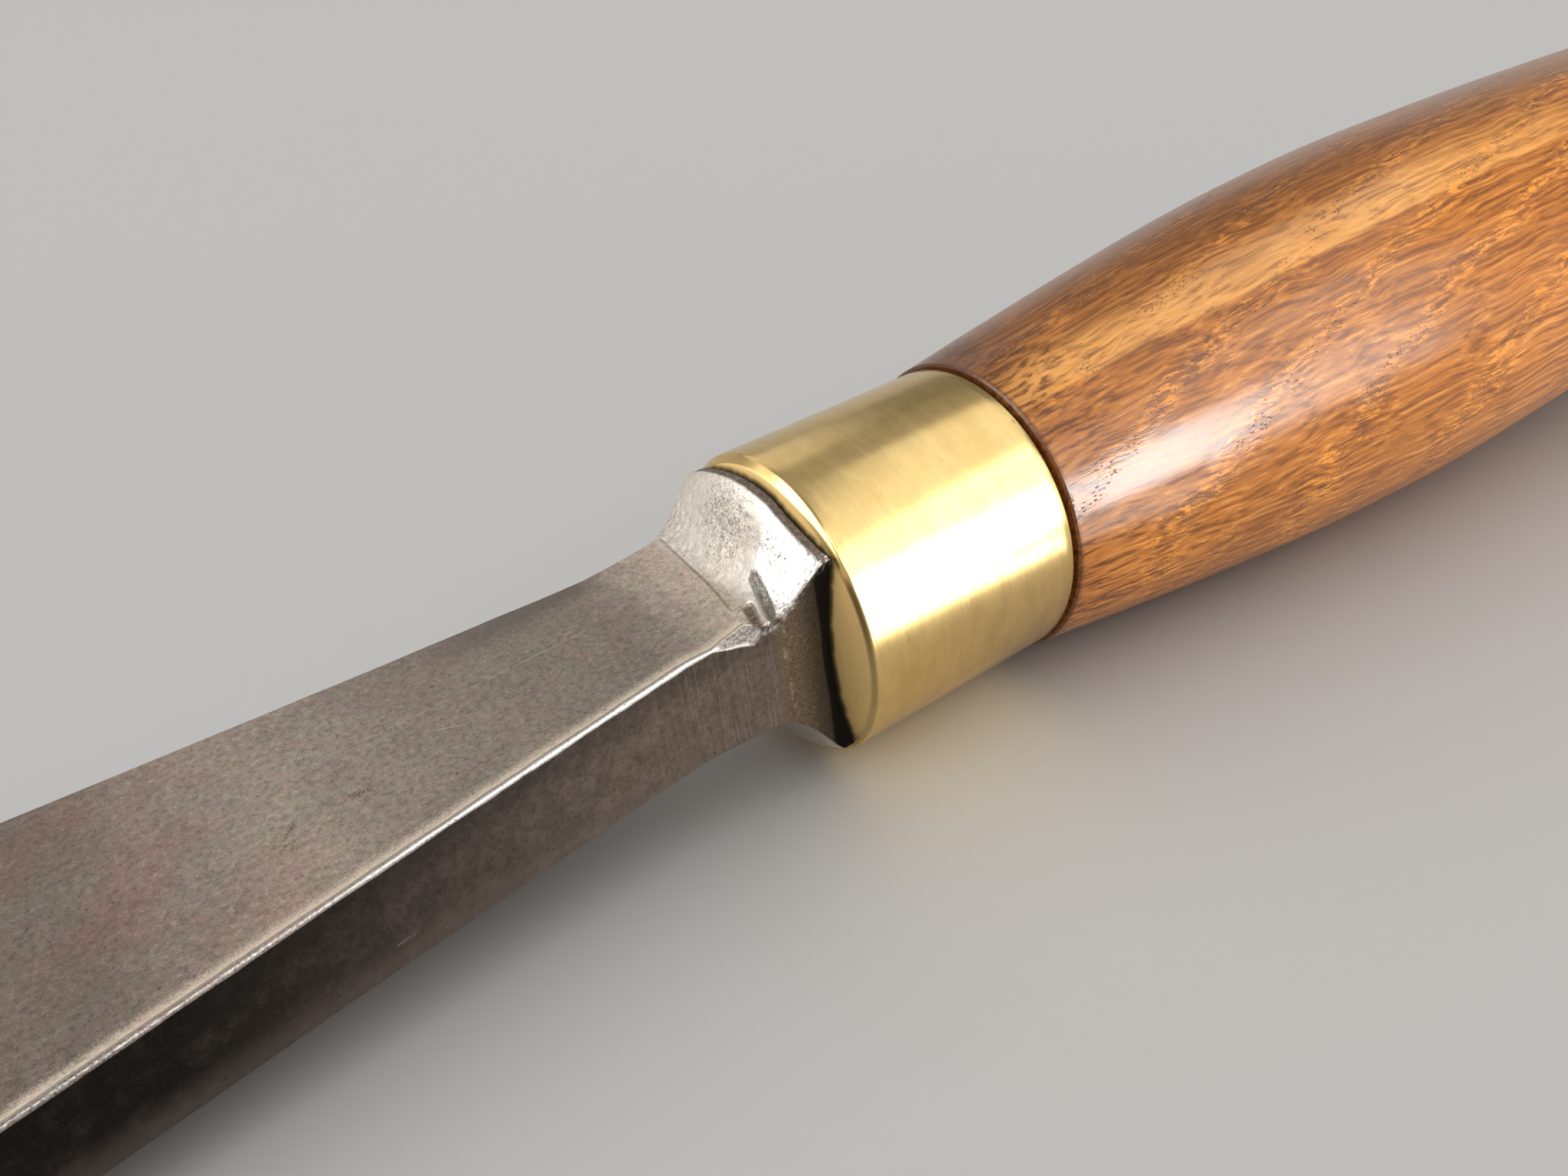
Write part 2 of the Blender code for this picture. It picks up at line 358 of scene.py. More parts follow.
# %% Blade sizes
BLADE_LENGTH = 92.0
EDGE_WIDTH = 38.0
EDGE_LAND = 0.1
BEVEL_SLOPE = math.tan(math.radians(25.0))
NECK_AT = 81.5
NECK_WIDTH = 13.6
NECK_THICKNESS = 7.7
SIDE_TAPER = 0.115
TOP_SLOPE = math.tan(math.radians(2.4))
FLARE_AT = 87.4
FLARE_WIDTH = 14.4
FLARE_COVE = 1.5
RIM_AT = 91.2
BOLSTER_WIDTH = 15.7
BOLSTER_CORNER = 7.5
BOLSTER_CROWN = 2.0
TOP_ARRIS = 0.26
BACK_ARRIS = 0.2
ARRIS_FLAT = 0.3
TANG_LENGTH = 62.0
TANG_ROOT = 8.5
TANG_TIP = 3.0


def smooth(value, low, high):
    """An eased share, from 0 at low to 1 at high."""
    share = np.clip((value - low) / (high - low), 0.0, 1.0)
    return share * share * (3.0 - 2.0 * share)


def mix(first, second, share):
    """The value a share of the way from first to second."""
    return first + (second - first) * share


def half_width(x):
    """Half the plate's width: the sides leave the neck at a slope and bow out to the edge."""
    reach = np.maximum(NECK_AT - x, 0.0)
    bow = (EDGE_WIDTH / 2 - NECK_WIDTH / 2 - SIDE_TAPER * NECK_AT) / NECK_AT**2
    past = np.clip((x - NECK_AT) / (FLARE_AT - NECK_AT), 0.0, 1.0) ** 2
    return NECK_WIDTH / 2 + SIDE_TAPER * reach + bow * reach**2 + (FLARE_WIDTH - NECK_WIDTH) / 2 * past


def plate_top(x):
    """Height of the top over the flat back: the bevel near the edge, then a gentle taper."""
    return np.minimum(NECK_THICKNESS + (x - NECK_AT) * TOP_SLOPE, EDGE_LAND + x * BEVEL_SLOPE)


BEVEL_HEEL = (NECK_THICKNESS - NECK_AT * TOP_SLOPE - EDGE_LAND) / (BEVEL_SLOPE - TOP_SLOPE)
print("the bevel's heel is", round(BEVEL_HEEL, 2), "mm from the edge")

# %% [markdown]
# ## Blade: cross-sections
# Every section has the same number of points, so that neighbouring sections can be joined by quads: the
# top from left to right, an arris, the right side, the back and so on round. An arris is a small worn
# bevel, a little flat and mostly round. On the right its width changes along the blade, and just before the
# flare a careless file stroke has widened it to a triangle.

# %% Places along and around the forging
TOP_POINTS = 132
ARRIS_POINTS = 7
SIDE_POINTS = 42
BACK_POINTS = 48


def stations():
    """Where the sections stand along the blade: closer together where there is more to see."""
    runs = [
        (0.0, BEVEL_HEEL - 0.1, 22),
        (BEVEL_HEEL + 0.1, 44.0, 62),
        (44.4, 80.0, 92),
        (80.2, 86.0, 36),
        (86.08, RIM_AT - 0.04, 62),
        (RIM_AT + 0.06, BLADE_LENGTH - 0.08, 8),
    ]
    return np.concatenate([np.linspace(start, end, count) for start, end, count in runs])


def toward_ends(count):
    """Shares from 0 to 1 that crowd together at both ends, where the edges are."""
    share = np.linspace(0.0, 1.0, count)
    return share - 0.1 * np.sin(2.0 * math.pi * share)


blade_x = stations()
print("sections from x", blade_x[0], "to", blade_x[-1])

# %% Arrises
FILED_FROM = 83.4
FILED_RUN = 2.7
FILED_STOP = (86.25, 86.75)
FILED_WIDTH = 0.8


def wander(values, size, seed):
    """A smooth random value for each place along a line, about -1 to 1."""
    return np.array([noise.noise(Vector((v / size, seed * 7.31, 0.5))) for v in values])


def filed(x):
    """How far the careless file stroke has cut, from 0 where it starts to 1 where it stops at the flare."""
    return np.clip((x - FILED_FROM) / FILED_RUN, 0.0, 1.0) * (1.0 - smooth(x, *FILED_STOP))


def right_arris(x):
    """Width of the arris on the right: uneven, and spread by a file stroke before the flare."""
    uneven = TOP_ARRIS * (1.0 + 0.28 * wander(x, 2.5, 1) + 0.2 * wander(x, 0.7, 2))
    stroke = FILED_WIDTH * filed(x)
    flare = -0.08 * smooth(x, 86.3, 87.0)
    return uneven + stroke + flare


def left_arris(x):
    """Width of the arris on the left, which nobody has filed."""
    return TOP_ARRIS * (1.0 + 0.2 * wander(x, 3.0, 3)) - 0.06 * smooth(x, 86.3, 87.4)


def corner(width, flat):
    """Points of a worn corner, out to the side and down from the top: round where flat is 0."""
    share = np.arange(1, ARRIS_POINTS + 1) / (ARRIS_POINTS + 1)
    turn = share * math.pi / 2
    out = mix(np.sin(turn), share, flat[:, None])
    down = mix(1.0 - np.cos(turn), share, flat[:, None])
    return out * width[:, None], down * width[:, None]


# %% Rings of the forging
LEFT_LEAN = 0.45
RIGHT_LEAN = 0.22


def flare_rise(x):
    """How far the flare has opened, from 0 where it starts to 1 at the rim."""
    return np.clip((x - FLARE_AT) / (RIM_AT - FLARE_AT), 0.0, 1.0) ** FLARE_COVE


def rings(x):
    """Every section's points as an array of sections by points by coordinates."""
    rise = flare_rise(x)
    width = mix(half_width(x), BOLSTER_WIDTH / 2, rise)[:, None]
    top = mix(plate_top(x), AXIS_HEIGHT + BOLSTER_CORNER, rise)[:, None]
    bottom = mix(0.0, AXIS_HEIGHT - BOLSTER_CORNER, rise)[:, None]
    crown = BOLSTER_CROWN * rise[:, None]
    thin = np.minimum(1.0, 0.8 * plate_top(x))
    right, left = right_arris(x) * thin, left_arris(x) * thin
    under = BACK_ARRIS * thin

    across = 1.0 - 2.0 * toward_ends(TOP_POINTS)
    over_y = mix(-(width - right[:, None]), width - left[:, None], (across + 1) / 2)
    over_z = top + crown * (1.0 - across**2)
    flat = mix(ARRIS_FLAT, 1.0, smooth(x, FILED_FROM, FILED_FROM + 1.0) * (x < 86.8))
    out, down = corner(right, flat)
    right_y = -(width - right[:, None]) - out
    right_z = top - down
    fall = toward_ends(SIDE_POINTS)
    side_y = np.repeat(-width, SIDE_POINTS, 1)
    side_z = mix(top - right[:, None], bottom + under[:, None], fall)
    back = np.linspace(-1.0, 1.0, BACK_POINTS)
    back_y = back * (width - under[:, None])
    back_z = bottom - crown * (1.0 - back**2)
    far_y = np.repeat(width, SIDE_POINTS, 1)
    far_z = mix(bottom + under[:, None], top - left[:, None], fall)
    out, down = corner(left, np.full(len(x), ARRIS_FLAT))
    left_y = (width - left[:, None] + out)[:, ::-1]
    left_z = (top - down)[:, ::-1]

    y = np.concatenate([over_y, right_y, side_y, back_y, far_y, left_y], 1)
    z = np.concatenate([over_z, right_z, side_z, back_z, far_z, left_z], 1)
    return np.stack([np.repeat(x[:, None], y.shape[1], 1), y, z], 2)


def lean(points):
    """Forge the bolster's crown out of true: higher on the left than on the right."""
    x, y, z = points[..., 0], points[..., 1], points[..., 2]
    tip = LEFT_LEAN * smooth(y, -4.5, 0.5) - RIGHT_LEAN * smooth(-y, 3.0, 7.0) - 0.1 * smooth(y, 6.0, 8.0)
    z += tip * flare_rise(x) * smooth(z, AXIS_HEIGHT, AXIS_HEIGHT + BOLSTER_CORNER)


skin = rings(blade_x)
lean(skin)
ring_size = skin.shape[1]
part = np.repeat(
    ["top", "right_arris", "right", "back", "left", "left_arris"],
    [TOP_POINTS, ARRIS_POINTS, SIDE_POINTS, BACK_POINTS, SIDE_POINTS, ARRIS_POINTS],
)
print("blade:", skin.shape[0], "sections of", ring_size, "points")

# %% [markdown]
# ## Blade: wear
# Wear is what makes this tool old: a flat filed on the right corner of the flare, a line cut across the
# top where the flare begins, two gouges beside the right arris, an arris that is nibbled along the flare,
# and a row of nicks at the foot of the side. Each is a stroke along a short path. A point's distance from the
# path says how far it moves along its own normal, and a mask remembers the stroke, so that the steel can be
# stained there.

# %% Strokes of wear
FACET_START = -2.8
FACET_LEAN = 0.3
FACET_RIDGE = 0.16
RIDGE_REACH = 2.6
# Each stroke: its path, its width, its depth and how dark it is stained.
STROKES = [
    (
        [
            (87.9, 6.6, 8.15),
            (87.69, 4.6, 8.1),
            (87.5, 2.3, 8.0),
            (87.3, 0.1, 7.94),
            (86.96, -2.2, 7.93),
            (86.55, -4.2, 7.91),
        ],
        0.24,
        0.05,
        0.55,
    ),
    ([(88.7, 5.9, 8.6), (88.45, 3.9, 8.5), (88.25, 2.2, 8.4)], 0.2, 0.04, 0.35),
    ([(88.85, -3.6, 9.05), (88.24, -5.65, 8.3), (87.8, -7.2, 7.75)], 0.82, 0.26, 0.95),
    ([(87.45, -4.7, 7.98), (87.0, -6.3, 7.9), (86.85, -7.3, 7.6)], 0.84, 0.25, 0.95),
]


def normals_of(points):
    """Outward normals of the lofted grid."""
    along = np.gradient(points, axis=0)
    around = np.roll(points, -1, axis=1) - np.roll(points, 1, axis=1)
    normal = np.cross(around, along)
    return normal / np.maximum(np.linalg.norm(normal, axis=2, keepdims=True), 1e-9)


def distance_to(points, path):
    """Distance of every point from a path of straight pieces."""
    nearest = np.full(points.shape[:2], 1e9)
    for start, end in zip(np.array(path[:-1], float), np.array(path[1:], float)):
        leg = end - start
        share = np.clip(((points - start) @ leg) / (leg @ leg), 0.0, 1.0)
        nearest = np.minimum(nearest, np.linalg.norm(points - start - share[..., None] * leg, axis=2))
    return nearest


def speckle(points, size, seed, mask):
    """Smooth random values, about -1 to 1, at the points that a mask keeps."""
    values = np.zeros(points.shape[:2])
    for i, j in zip(*np.nonzero(mask > 0.001)):
        values[i, j] = noise.noise(Vector(points[i, j] / size) + Vector((seed, 0.0, 0.0)))
    return values


def facet_crease(x):
    """How far across the ridge lies where the filed facet of the flare begins."""
    return FACET_START + FACET_LEAN * (x - RIM_AT)


def flatten_corner(points):
    """File the right corner of the crowned flare flat, from a ridge to the arris."""
    x, y, z = points[..., 0], points[..., 1], points[..., 2]
    crease = facet_crease(x)
    ridge = np.clip(1.0 - np.abs(y - crease) / RIDGE_REACH, 0.0, 1.0) * smooth(x, 88.2, 89.6)
    z += FACET_RIDGE * ridge * on_top
    filed_off = on_top & (y < crease) & (x > 88.4) & (x < BLADE_LENGTH)
    for i in range(len(points)):
        row = np.nonzero(filed_off[i])[0]
        if len(row) > 2:
            first, last = row[0], row[-1]
            share = (y[i, row] - y[i, first]) / (y[i, last] - y[i, first])
            z[i, row] = mix(z[i, first], z[i, last], share)


on_top = (part == "top")[None, :]
flatten_corner(skin)
stain = np.zeros(skin.shape[:2])
outward = normals_of(skin)
for path, width, depth, dark in STROKES:
    reach = distance_to(skin, path)
    cut = 1.0 - smooth(reach, 0.22 * width, 0.55 * width)
    skin -= outward * (depth * cut)[..., None]
    stain = np.maximum(stain, dark * cut)
print("strokes cut:", len(STROKES))

# %% Nibbled arris and nicks
ARRIS_LINE = [
    (91.95, -7.6, 10.75),
    (90.8, -7.4, 10.2),
    (89.98, -7.25, 9.5),
    (89.0, -7.2, 8.55),
    (88.0, -7.2, 7.8),
    (87.0, -7.15, 7.6),
    (86.2, -7.1, 7.5),
]
NICK_LINE = [
    (88.2, -7.27, 7.2),
    (88.15, -7.27, 4.4),
    (88.1, -7.27, 3.2),
    (88.3, -7.28, 1.2),
    (88.45, -7.29, 0.2),
]

along_arris = 1.0 - smooth(distance_to(skin, ARRIS_LINE), 0.1, 0.6)
bite = speckle(skin, 0.24, 3.0, along_arris)
crumb = speckle(skin, 0.11, 5.0, along_arris)
skin -= outward * (along_arris * (0.13 * np.clip(bite + 0.15, -0.2, 1.0) + 0.05 * crumb))[..., None]
edge_light = 1.0 - smooth(distance_to(skin, ARRIS_LINE), 0.08, 0.5)
bare = edge_light * smooth(0.6 * crumb - bite, -0.3, 0.3)

along_nicks = 1.0 - smooth(distance_to(skin, NICK_LINE), 0.05, 0.3)
chips = np.clip(speckle(skin, 0.16, 9.0, along_nicks) * 1.6, 0.0, 1.0)
skin -= outward * (0.05 * along_nicks * chips)[..., None]
bare = np.maximum(bare, 0.22 * along_nicks * smooth(chips, 0.15, 0.6))
print("points on the nibbled arris:", int((along_arris > 0.1).sum()))

# %% [markdown]
# The ferrule's front is a shallow dome, and the bolster is dished to sit on it. Its flat sides are nearer
# the axis than its corners, so at the sides the dish comes further forward, and the rear edge curves.

# %% Dished seat
FERRULE_AT = 92.3
FERRULE_RADIUS = 11.0
DOME_SWEEP = 32.0
SEAT_GAP = 0.15
RIM_FROM = 90.0


def dome_lead(radius):
    """How far the ferrule's dome stands in front of its outer edge."""
    inside = np.minimum(radius, FERRULE_RADIUS)
    return np.sqrt(DOME_SWEEP**2 - inside**2) - math.sqrt(DOME_SWEEP**2 - FERRULE_RADIUS**2)


def seat_at(points):
    """Where the dished seat lies for points round the axis."""
    return FERRULE_AT - SEAT_GAP - dome_lead(np.hypot(points[..., 1], points[..., 2] - AXIS_HEIGHT))


skin[..., 0] += (seat_at(skin) - BLADE_LENGTH) * smooth(skin[..., 0], 89.4, BLADE_LENGTH)
ragged_rim = smooth(skin[..., 0], seat_at(skin) - 0.7, seat_at(skin)) * (skin[..., 0] > RIM_FROM)
skin[..., 0] -= 0.14 * ragged_rim * np.clip(speckle(skin, 0.4, 21.0, ragged_rim), 0.0, 1.0)
rear_edge = skin[-1, :, 0]
print("rear edge of the bolster: x", rear_edge.min().round(2), "to", rear_edge.max().round(2))

# %% [markdown]
# ## Blade: closing the loft
# Behind the bolster's rim the skin turns in to the seat, which bears on the brass, and then runs down the
# tang. These rows shrink the last section and are plain, because the ferrule and the handle hide them. The
# masks travel with the mesh as attributes: how worn an edge is, with a painted highlight along it, what is
# stained, what belongs to the side and what to the flare, the shoulder beside the right arris, which holds a
# painted sheen, and the rim, which holds a painted shadow. A small Geometry Nodes tree then roughens the
# skin, so that the hammered and pitted surface is real shape too.

# %% Seat and tang rows
SEAT_SHARES = (0.0, 0.03, 0.35, 0.7)
SEAT_STEP = 0.04
TANG_ROWS = 12


def tang_half(depth):
    """Half the tang's side, this far behind the seat."""
    return mix(TANG_ROOT, TANG_TIP, depth / TANG_LENGTH) / 2


def tang_ring(depth):
    """A square ring of the tang with as many points as a blade section."""
    last = skin[-1] - np.array([0.0, 0.0, AXIS_HEIGHT])
    size = np.maximum(np.abs(last[:, 1]), np.abs(last[:, 2]))
    y = last[:, 1] / size * tang_half(depth)
    z = last[:, 2] / size * tang_half(depth) + AXIS_HEIGHT
    return np.stack([np.full(ring_size, BLADE_LENGTH + depth), y, z], 1)


seat_rows = [mix(skin[-1], tang_ring(0.0), share) for share in SEAT_SHARES]
for row in seat_rows:
    row[:, 0] = seat_at(row)
seat_rows[0][:, 0] = np.maximum(seat_rows[0][:, 0], rear_edge + SEAT_STEP)
tang_rows = [tang_ring(depth) for depth in np.linspace(0.0, TANG_LENGTH, TANG_ROWS)]
points = np.concatenate([skin, seat_rows, tang_rows])
print("blade rows with seat and tang:", len(points))

# %% Blade mesh


def quad_grid(rows, columns):
    """Quads that join rows of points into a tube."""
    i, j = np.meshgrid(np.arange(rows - 1), np.arange(columns), indexing="ij")
    k = (j + 1) % columns
    quads = [i * columns + j, i * columns + k, (i + 1) * columns + k, (i + 1) * columns + j]
    return np.stack(quads, 2).reshape(-1, 4)[:, ::-1].tolist()


numbers = list(range(len(points) * ring_size))
faces = quad_grid(len(points), ring_size) + [numbers[:ring_size], numbers[-ring_size:][::-1]]
blade_mesh = bpy.data.meshes.new("forged_blade")
blade_mesh.from_pydata(points.reshape(-1, 3).tolist(), [], faces)
print("blade mesh:", len(blade_mesh.polygons), "faces")

# %% Masks of the blade
SHOULDER_REACH = 1.6
LIP_SHARE = 0.9


def store(mesh, name, values):
    """Keep one value for each point of a mesh as a named attribute."""
    mesh.attributes.new(name, "FLOAT", "POINT").data.foreach_set("value", values.astype(np.float32).ravel())


def padded(values, fill):
    """Values for the plain rows behind the rim too."""
    return np.concatenate([values, np.full((len(points) - len(values), ring_size), fill)])


x, y, seat = skin[..., 0], skin[..., 1], seat_at(skin)
on_arris = part == "right_arris"
is_side = np.isin(part, ["right", "left"])[None, :] * np.ones((len(skin), 1))
# The worn mask is bare steel on the arrises; its rise to a peak in the middle of each arris is a painted
# highlight.
turn_share = np.zeros(ring_size)
turn_share[on_arris] = np.sin(np.linspace(0.2, 0.8, ARRIS_POINTS) * math.pi)
turn_share[part == "left_arris"] = turn_share[on_arris]
lip_share = np.zeros(ring_size)
lip_share[np.nonzero(on_arris)[0][-1]] = LIP_SHARE
burr = smooth(x, 83.5, 84.3) * (1.0 - smooth(x, 86.5, 86.9))
worn = turn_share * (1.0 - smooth(x, 83.6, 84.3)) + lip_share * burr * (x < 85.9)
# The shoulder mask marks where a painted sheen lies beside the right arris.
inward = (y - skin[:, TOP_POINTS - 1, 1][:, None]) / SHOULDER_REACH
shoulder = (1.0 - np.clip(inward, 0.0, 1.0)) * on_top * (x < 86.3)
# Where the rim mask passes 0.7, in the last tenth of a millimetre before the seat, and along the rear of the
# flat sides, the steel is painted black as shadow in the gap at the ferrule.
rim = 0.7 * smooth(x, seat - 0.78, seat - 0.6) + 0.3 * smooth(x, seat - 0.16, seat - 0.04)
rim = np.maximum(rim * (x > RIM_FROM), is_side * smooth(x, 90.4, 90.85))
crease = facet_crease(x) + 0.3 * wander(blade_x, 0.6, 5)[:, None]
facet = smooth(crease - y, -0.12, 0.12) * smooth(x, 88.0, 88.9) * on_top
bevel = (1.0 - smooth(x, BEVEL_HEEL - 0.1, BEVEL_HEEL + 0.1)) * on_top
# Each mask: its values on the skin, and its value on the rows behind the rim.
masks = {
    "worn": (np.maximum(worn, bare), 0.0),
    "burr": (burr * on_arris[None, :], 0.0),
    "shoulder": (shoulder, 0.0),
    "stain": (stain, 1.0),
    "side": (is_side, 0.0),
    "rim": (rim, 1.0),
    "facet": (facet, 0.0),
    "bevel": (bevel, 0.0),
    "hammered": (smooth(x, 1.0, BEVEL_HEEL), 0.0),
    "flare": (smooth(x, 87.0, 88.2), 0.0),
}
for name, (values, behind) in masks.items():
    store(blade_mesh, name, padded(values, behind))
blade_mesh.update()
print("masks:", ", ".join(masks))

# %% [markdown]
# ## Turned surface and forged skin in Geometry Nodes
# Two trees are enough for the three pieces. "forged_skin" pushes the blade's points along their normals by
# a broad noise, the hammer's waves, and by a fine one, the pits, which is strong on the flare. "turned_piece"
# is a lathe: it bends a grid round the axis, and reads each row's radius from a profile. A helper runs a
# tree on a mesh and keeps the result as a plain mesh, laid on the bench.

# %% Tree helpers


def new_tree(name, sockets):
    """A Geometry Nodes tree with named inputs, one geometry in and one out."""
    tree = bpy.data.node_groups.new(name, "GeometryNodeTree")
    tree.interface.new_socket("Geometry", in_out="INPUT", socket_type="NodeSocketGeometry")
    for socket, kind in sockets.items():
        tree.interface.new_socket(socket, in_out="INPUT", socket_type=kind)
    tree.interface.new_socket("Geometry", in_out="OUTPUT", socket_type="NodeSocketGeometry")
    return tree, inputs_of(tree)


def close_tree(tree, shape, finish):
    """End a tree: shade smooth, realize, set the material, and put out."""
    smoothed = result("GeometryNodeSetShadeSmooth", {"Geometry": shape})
    real = result("GeometryNodeRealizeInstances", {"Geometry": smoothed})
    painted = result("GeometryNodeSetMaterial", {"Geometry": real, "Material": finish})
    node(tree, "NodeGroupOutput", {"Geometry": painted})


def jitter(position, size, seed, detail):
    """Noise about zero with features of a size."""
    spread = vector_maths("ADD", position, seed)
    return result("ShaderNodeTexNoise", {"Vector": spread, "Scale": 1.0 / size, "Detail": detail}) - 0.5


def apply_modifiers(piece):
    """Keep what a piece's modifiers make of it as its plain mesh."""
    bpy.context.view_layer.update()
    graph = bpy.context.evaluated_depsgraph_get()
    mesh = bpy.data.meshes.new_from_object(piece.evaluated_get(graph))
    piece.modifiers.clear()
    piece.data = mesh


def run_tree(name, mesh, tree, values):
    """Run a tree on a mesh and return the result as a new object, laid on the bench."""
    piece = bpy.data.objects.new(name, mesh)
    bpy.context.scene.collection.objects.link(piece)
    modifier = piece.modifiers.new(tree.name, "NODES")
    modifier.node_group = tree
    for socket in tree.interface.items_tree:
        if socket.in_out == "INPUT" and socket.name in values:
            modifier[socket.identifier] = values[socket.name]
    apply_modifiers(piece)
    piece.data.name = name
    piece.data.transform(TOOL_TO_WORLD)
    piece.data.update()
    return piece


# %% Forged skin tree
SKIN_SOCKETS = {
    "Wave Depth": "NodeSocketFloat",
    "Wave Size": "NodeSocketFloat",
    "Pit Depth": "NodeSocketFloat",
    "Pit Size": "NodeSocketFloat",
    "Seed": "NodeSocketVector",
    "Finish": "NodeSocketMaterial",
}

forged_skin, given = new_tree("forged_skin", SKIN_SOCKETS)
flare_mask, hammered = [
    source(forged_skin, "GeometryNodeInputNamedAttribute", {"Name": name}, data_type="FLOAT")
    for name in ("flare", "hammered")
]
place = source(forged_skin, "GeometryNodeInputPosition")
waves = jitter(place, given["Wave Size"], given["Seed"], 1.0) * given["Wave Depth"] * hammered
pits = jitter(place, given["Pit Size"], given["Seed"], 3.0) * given["Pit Depth"] * flare_mask
push = scaled(source(forged_skin, "GeometryNodeInputNormal"), waves + pits)
moved = result("GeometryNodeSetPosition", {"Geometry": given["Geometry"], "Offset": push})
close_tree(forged_skin, moved, given["Finish"])
print("tree:", forged_skin.name, "with", len(forged_skin.nodes), "nodes")

# %% Turned piece tree
TURNED_SOCKETS = {
    "Steps": "NodeSocketInt",
    "Axis Start": "NodeSocketVector",
    "Wobble": "NodeSocketFloat",
    "Wobble Size": "NodeSocketFloat",
    "Finish": "NodeSocketMaterial",
}
WELD = 0.002
ROUND_STRETCH = (1.0, 12.0, 12.0)

turned_piece, given = new_tree("turned_piece", TURNED_SOCKETS)
profile = given["Geometry"]
rows = result("GeometryNodeAttributeDomainSize", {"Geometry": profile}, "Point Count", component="MESH")
columns = given["Steps"] + 1.0
sheet = result("GeometryNodeMeshGrid", {"Vertices X": rows, "Vertices Y": columns}, "Mesh")
index = source(turned_piece, "GeometryNodeInputIndex")
row = maths("FLOOR", (index + 0.5) / columns)
angle = (index - row * columns) / given["Steps"] * (2.0 * math.pi)
place = source(turned_piece, "GeometryNodeInputPosition")
inputs = {"Geometry": profile, "Value": place, "Index": row}
profile_point = result("GeometryNodeSampleIndex", inputs, data_type="FLOAT_VECTOR", domain="POINT")
radius, _, height = split(profile_point)
round_y, round_z = maths("COSINE", angle), maths("SINE", angle)
sway_at = vector_maths("MULTIPLY", joined(height, round_y, round_z), ROUND_STRETCH)
sway = jitter(sway_at, given["Wobble Size"], (0.0, 0.0, 0.0), 1.0) * given["Wobble"]
radius = radius * (sway + 1.0)
bent = joined(height, round_y * radius, round_z * radius)
on_axis = vector_maths("ADD", bent, given["Axis Start"])
lathe = result("GeometryNodeSetPosition", {"Geometry": sheet, "Position": on_axis})
welded = result("GeometryNodeMergeByDistance", {"Geometry": lathe, "Distance": WELD})
close_tree(turned_piece, welded, given["Finish"])
print("tree:", turned_piece.name, "with", len(turned_piece.nodes), "nodes")

# %% [markdown]
# ## Effects that the finishes share
# Three effects turn up on more than one material, so each is a node group. "patches" is a slow change of
# tone, as of patina on steel, tarnish on brass and colour in wood. "fine_lines" gives the thin scratches of
# metal, which run along the stretched axis. "fine_pits" gives small dark holes, as of rust or of pores. They
# take coordinates in millimetres of the tool frame, which a Mapping node makes from Object coordinates, so
# the patterns stay true to size and lie along the tool. A finish is then a table of layers: each is a share
# and the colour that it lays over what is there.

# %% Effect groups
VECTOR, FLOAT = "NodeSocketVector", "NodeSocketFloat"
STRETCHED = {"Vector": VECTOR, "Stretch": VECTOR, "Amount": FLOAT}


def new_effect(name, inputs, outputs):
    """A shader node group with named float or vector inputs and named float outputs."""
    group = bpy.data.node_groups.new(name, "ShaderNodeTree")
    for socket, kind in inputs.items():
        group.interface.new_socket(socket, in_out="INPUT", socket_type=kind)
    for socket in outputs:
        group.interface.new_socket(socket, in_out="OUTPUT", socket_type=FLOAT)
    return group, inputs_of(group)


patches, given = new_effect("patches", {"Vector": VECTOR, "Size": FLOAT, "Edge": FLOAT}, ["Mask"])
inputs = {"Vector": given["Vector"], "Scale": 1.0 / given["Size"], "Detail": 5.0, "Roughness": 0.6}
tone = result("ShaderNodeTexNoise", inputs)
node(patches, "NodeGroupOutput", {"Mask": ease(tone, 0.5 - given["Edge"], given["Edge"] + 0.5)})

fine_lines, given = new_effect("fine_lines", STRETCHED, ["Height", "Lines"])
drawn = vector_maths("MULTIPLY", given["Vector"], given["Stretch"])
inputs = {"Vector": drawn, "Scale": 1.0, "Detail": 6.0, "Roughness": 0.65}
threads = result("ShaderNodeTexNoise", inputs)
bright_side = 0.75 - given["Amount"] * 0.25
lines = ease(threads, bright_side, bright_side + 0.12)
node(fine_lines, "NodeGroupOutput", {"Height": threads, "Lines": lines})

fine_pits, given = new_effect("fine_pits", STRETCHED, ["Pits"])
spread = vector_maths("MULTIPLY", given["Vector"], given["Stretch"])
cells = node(fine_pits, "ShaderNodeTexVoronoi", {"Vector": spread, "Scale": 1.0, "Randomness": 1.0})
distance, cell_colour = [Value(fine_pits, cells.outputs[name]) for name in ("Distance", "Color")]
hole = ease(distance, 0.18, 0.42, 1.0, 0.0)
chosen = result("ShaderNodeSeparateColor", {0: cell_colour})
kept = ease(chosen, 1.0 - given["Amount"], 1.05 - given["Amount"])
node(fine_pits, "NodeGroupOutput", {"Pits": hole * kept})
print("effects:", patches.name, fine_lines.name, fine_pits.name)

# %% Finish helpers
TONE_RANGE = 2.0


def tool_coordinates(tree):
    """Millimetres in the tool frame, from Object coordinates."""
    inputs = {
        "Vector": source(tree, "ShaderNodeTexCoord", output="Object"),
        "Location": EDGE_PLACE,
        "Rotation": (0.0, -TILT, 0.0),
        "Scale": (MM, MM, MM),
    }
    return result("ShaderNodeMapping", inputs, vector_type="TEXTURE")


def attribute(tree, name):
    """A mask that the mesh carries."""
    return source(tree, "ShaderNodeAttribute", output="Fac", attribute_name=name)


def effect(group, vector, **inputs):
    """Place an effect with its own values, and return what it puts out by name."""
    made = node(vector.tree, "ShaderNodeGroup", {"Vector": vector, **inputs}, node_tree=group)
    return {output.name: Value(vector.tree, output) for output in made.outputs}


